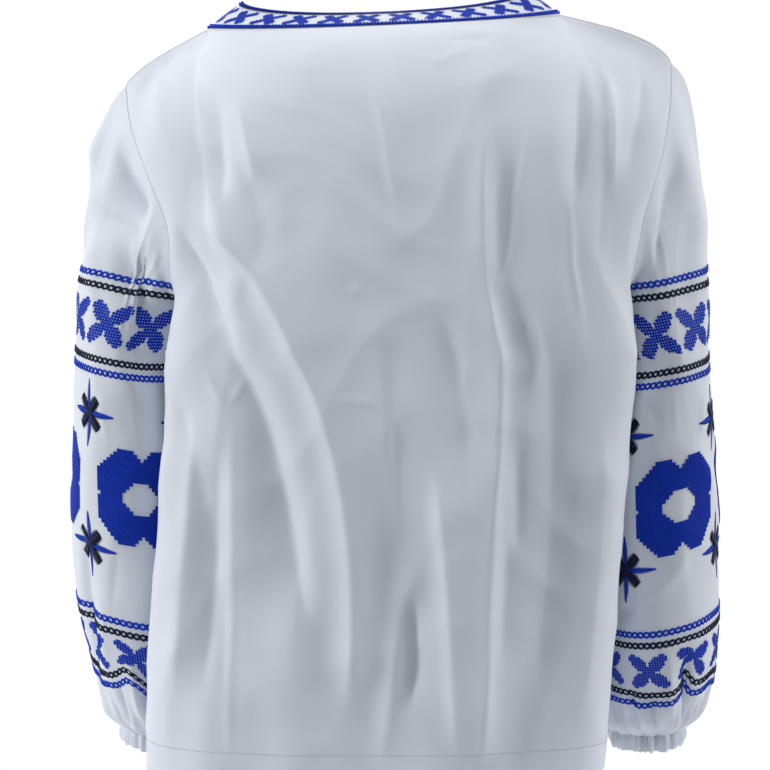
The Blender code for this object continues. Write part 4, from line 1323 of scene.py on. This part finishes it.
def workSleeve(side, name):
    work = sleeveWork[side]
    girth = embroidery["girth"]
    wrap = sleeveWrap(side)
    chart = crossChart(crossCell["half"])
    royalLinks = [place for level in work["royalChains"] for place in chainRow(level)]
    navyLinks = [place for level in work["navyChains"] for place in chainRow(level)]
    crosses, squares = [], []
    for band in ("upper", "lower"):
        level, count, turn = work[band + "Cross"]
        for k in range(count):
            some = crossMotif((turn + k / count) * girth, level, crossCell[band], chart,
                              crossCell[band + "Stretch"])
            crosses += some[0]
            squares += some[1]
    flowerLevel, flowerCount, flowerTurn = work["flowers"]
    laid, patches, rays, petals = [], [], [], []
    for k in range(flowerCount):
        some = flowerMotif((flowerTurn + k / flowerCount) * girth, flowerLevel)
        laid += some[0]
        patches += some[1]
        for level in work["stars"]:
            some = starMotif((flowerTurn + (k + 0.5) / flowerCount) * girth, level)
            rays += some[0]
            petals += some[1]
    # rows: what it is, kind of stitch, places, thread, lift off the cloth
    rows = [
        ("chains_royal", "link", royalLinks, royalThread, 0.0004),
        ("chains_navy", "link", navyLinks, navyThread, 0.0004),
        ("cross_ground", "patch", squares, royalThread, 0.0005),
        ("crosses", "thread", crosses, royalThread, 0.0005),
        # the flowers' dark ground is painted shade between their threads
        ("flower_ground", "patch", patches, royalDarkAndShade, 0.0007),
        ("flowers", "thread", laid, royalThread, 0.0007),
        ("star_rays", "thread", rays, royalThread, 0.0003),
        ("star_petals", "thread", petals, navyThread, 0.0005),
    ]
    return [stitches(name + "_" + what, kind, places, wrap, material, lift)
            for what, kind, places, material, lift in rows]


sleeveStitches = {side: workSleeve(side, "sleeve_" + name) for side, name in sides}
print("sleeves worked:", sum(len(item.data.polygons) for item in sleeveStitches[1]), "faces on one")


# neck trim: crosses between a thick royal rope below and a thin edging above

neckWork = {
    "girth": 0.780, "wide": 0.0385, "columns": 960,
    "crosses": 27, "crossAt": 0.52, "cell": 0.00192, "start": 0.010, "half": 5, "stretch": 1.08,
    "ropeAt": 0.070, "ropePitch": 0.0027, "ropeLong": 0.0042, "ropeWide": 0.0021, "ropeHigh": 0.0026,
    "edgeAt": 0.930, "edgePitch": 0.0024, "edgeLong": 0.0036, "edgeWide": 0.0019, "edgeHigh": 0.0018,
    "patchLong": 1.05, "patchWide": 1.20,
}
# the two strands of a braid: slant, shift along it and aside
strands = ((0.80, 0.0, 0.30), (-0.80, 0.15, -0.30))


# the trim laid out evenly all round, for placing stitches on it
def trimMap():
    rings = closeRing(trimGrid)
    lengths = runLengths(rings.mean(axis=0))
    shares = np.arange(neckWork["columns"]) / neckWork["columns"]
    at = np.interp(shares * lengths[-1], lengths, np.arange(len(lengths)))
    return np.stack([between(at, np.arange(len(lengths)), ring) for ring in rings])


def workNeck():
    surface = trimMap()

    def wrap(x, y, z):
        return settled(wrapOn(surface, x / neckWork["girth"], y / neckWork["wide"], z))

    chart = crossChart(neckWork["half"])
    crosses, squares = [], []
    for k in range(neckWork["crosses"]):
        place = (neckWork["start"] + k / neckWork["crosses"]) * neckWork["girth"]
        some = crossMotif(place, neckWork["crossAt"] * neckWork["wide"], neckWork["cell"], chart,
                          neckWork["stretch"])
        crosses += some[0]
        squares += some[1]
    rope, edge, under = [], [], []
    for key, laid in (("rope", rope), ("edge", edge)):
        pitch = neckWork[key + "Pitch"]
        level = neckWork[key + "At"] * neckWork["wide"]
        long = neckWork[key + "Long"]
        for k in range(round(neckWork["girth"] / pitch)):
            for slant, shift, beside in strands:
                laid.append(((k + shift) * pitch, level + beside * long, slant, long,
                             neckWork[key + "Wide"], neckWork[key + "High"]))
            # a navy ground under the braid: partly the braid's own second colour, partly painted shade in the
            # gaps between its strands
            under.append((k * pitch, level, 0.0, pitch * neckWork["patchLong"],
                          long * neckWork["patchWide"], 1.0))
    # rows: name, kind of stitch, places, thread, lift off the cloth
    rows = [
        ("neck_cross_ground", "patch", squares, royalThread, 0.0005),
        ("neck_crosses", "thread", crosses, royalThread, 0.0005),
        # the rope's navy ground is partly its second colour, partly painted shade between the strands
        ("neck_rope_ground", "patch", under, navyThread, 0.0009),
        ("neck_rope", "thread", rope, royalThread, 0.0012),
        ("neck_edging", "thread", edge, royalDarkAndShade, 0.0012),
    ]
    return [stitches(name, kind, places, wrap, material, lift)
            for name, kind, places, material, lift in rows]


neckStitches = workNeck()


# seams and the hem: a line of sewing stitches along a path on the cloth, their thread darkened as painted
# shade of the stitch line

sewing = {"pitch": 0.0026, "long": 0.0021, "wide": 0.0007, "high": 0.0006, "lift": 0.0003, "hemUp": 0.0230}
edgeCord = {"pitch": 0.0016, "long": 0.0030, "wide": 0.0022, "high": 0.0018, "lift": 0.0003, "down": 0.0008}


# stands stitches along a path on the cloth
def pathWrap(path, normals):
    lengths = runLengths(path)
    side = unit(np.cross(normals, unit(np.gradient(path, axis=0))))

    def wrap(x, y, z):
        spot, out, aside = [between(x, lengths, values) for values in (path, normals, side)]
        return settled(spot + out * z[:, None] + aside * y[:, None])

    return wrap, lengths[-1]


def sew(name, path, normals, size=sewing, material=shadedSewingThread):
    wrap, whole = pathWrap(path, normals)
    count = int(whole / size["pitch"])
    places = [((k + 0.5) * whole / count, 0.0, 0.0, size["long"], size["wide"], size["high"])
              for k in range(count)]
    return stitches(name, "thread", places, wrap, material, size["lift"])


# a level above the hem on one panel, as points and normals from side to side
def hemLine(name):
    grid, normals = sheets[name]
    columns = range(grid.shape[1])
    up = [runLengths(grid[:, column]) for column in columns]
    level = [sewing["hemUp"]]
    return [np.concatenate([between(level, up[column], values[:, column]) for column in columns])
            for values in (grid, normals)]


bodySewing = {}
for name in ("back", "front"):
    line, facing = hemLine(name)
    bodySewing[name] = [sew(name + "_hem_stitches", line, facing)]
backGrid, backNormals = sheets["back"]
bothNormals = backNormals + sheets["front"][1]
trunkSide = slice(0, body["lowerRows"] * finer["lower"] + 1)
for column, name in ((0, "left"), (-1, "right")):
    facing = unit(bothNormals[trunkSide, column])
    bodySewing["back"].append(sew(name + "_side_seam", backGrid[trunkSide, column], facing))
shoulder = body["shoulderColumns"] * finer["across"] + 1
for columns, name in ((slice(0, shoulder), "left"), (slice(-shoulder, None), "right")):
    facing = unit(bothNormals[-1, columns])
    bodySewing["back"].append(sew(name + "_shoulder_seam", backGrid[-1, columns], facing))
for side, name in sides:
    ring, facing = [closeRing(values[None])[0] for values in armholes[side]]
    sleeveStitches[side].append(sew(name + "_armhole_seam", ring, facing))
seam = closeRing(trimGrid[:1])[0] - np.array([0.0, 0.0, edgeCord["down"]])
facing = closeRing(trimNormals[:1])[0]
neckStitches.append(sew("neck_edge_cord", seam, facing, edgeCord, whiteThread))
print("seams sewn")

for item in templates.values():
    bpy.data.objects.remove(item)


# floor, light and camera

studio = {
    "floorHeight": -0.74,
    "floorRadius": 0.62,
    "floorColor": (0.93, 0.93, 0.94, 1.0),
    "floorRoughness": 0.9,
    "ambient": 0.14,  # the room's light from behind the camera
    "paper": 1.02,  # the white paper beyond the blouse
    "paperFrom": -0.35,
    "paperTo": 0.55,
    "warm": (1.0, 0.985, 0.955),
    "distance": 1.70,
    "aim": (0.0109, 0.0, -0.2496),
    "frameWidth": 0.621,
    "sensor": 36.0,
}
# rows: name, place, aim, size, watts, spread
lamps = [
    ("key", (1.95, 0.76, 0.20), (0.0, 0.0, -0.20), 0.35, 23.0, math.pi),
    ("top", (-0.1, 0.45, 1.9), (0.0, 0.0, -0.05), 0.4, 8.0, math.pi),
    ("rim", (-2.1, 0.50, 0.2), (0.0, 0.0, -0.25), 0.6, 15.0, math.pi),
    ("upper back", (-0.05, 0.75, 0.55), (0.0, 0.10, 0.03), 0.30, 0.26, 1.0),
]


def makeFloor():
    shape = bmesh.new()
    bmesh.ops.create_circle(shape, cap_ends=True, segments=96, radius=studio["floorRadius"])
    bmesh.ops.translate(shape, vec=(0.0, 0.0, studio["floorHeight"]), verts=shape.verts)
    floor = addMesh(shape, "studio_floor", smooth=False)
    material = newMaterial("pale floor")[0]
    shader = material.node_tree.nodes["Principled BSDF"]
    shader.inputs["Base Color"].default_value = studio["floorColor"]
    shader.inputs["Roughness"].default_value = studio["floorRoughness"]
    floor.data.materials.append(material)


# stands something at a place, looking at another
def pointAt(item, place, target):
    item.location = place
    item.rotation_euler = (Vector(target) - Vector(place)).to_track_quat("-Z", "Y").to_euler()
    bpy.context.scene.collection.objects.link(item)


def addLamp(name, place, target, size, power, spread):
    lamp = bpy.data.lights.new(name, "AREA")
    lamp.size = size
    lamp.spread = spread
    lamp.energy = power
    lamp.color = studio["warm"]
    pointAt(bpy.data.objects.new(name, lamp), place, target)


# white paper beyond the blouse, and a dimmer room on the camera's side
def makeWorld():
    world = bpy.data.worlds.new("studio")
    world.use_nodes = True
    nodes, links = world.node_tree.nodes, world.node_tree.links
    place = addNode(nodes, "ShaderNodeTexCoord")
    split = addNode(nodes, "ShaderNodeSeparateXYZ")
    links.new(place.outputs["Generated"], split.inputs["Vector"])
    paper = addNode(nodes, "ShaderNodeMapRange", interpolation_type="SMOOTHSTEP")
    paper.inputs["From Min"].default_value = studio["paperFrom"]
    paper.inputs["From Max"].default_value = studio["paperTo"]
    paper.inputs["To Min"].default_value = studio["paper"]
    paper.inputs["To Max"].default_value = studio["ambient"]
    links.new(split.outputs["Y"], paper.inputs["Value"])
    nodes["Background"].inputs["Color"].default_value = (1.0, 1.0, 1.0, 1.0)
    links.new(paper.outputs["Result"], nodes["Background"].inputs["Strength"])
    bpy.context.scene.world = world


def makeCamera():
    camera = bpy.data.cameras.new("camera")
    camera.sensor_width = studio["sensor"]
    camera.lens = studio["sensor"] * studio["distance"] / studio["frameWidth"]
    item = bpy.data.objects.new("camera", camera)
    pointAt(item, Vector(studio["aim"]) + Vector((0.0, studio["distance"], 0.0)), studio["aim"])
    bpy.context.scene.camera = item


makeFloor()
makeWorld()
for lamp in lamps:
    addLamp(*lamp)
makeCamera()
bpy.context.scene.view_settings.view_transform = "Standard"
print("studio set up")
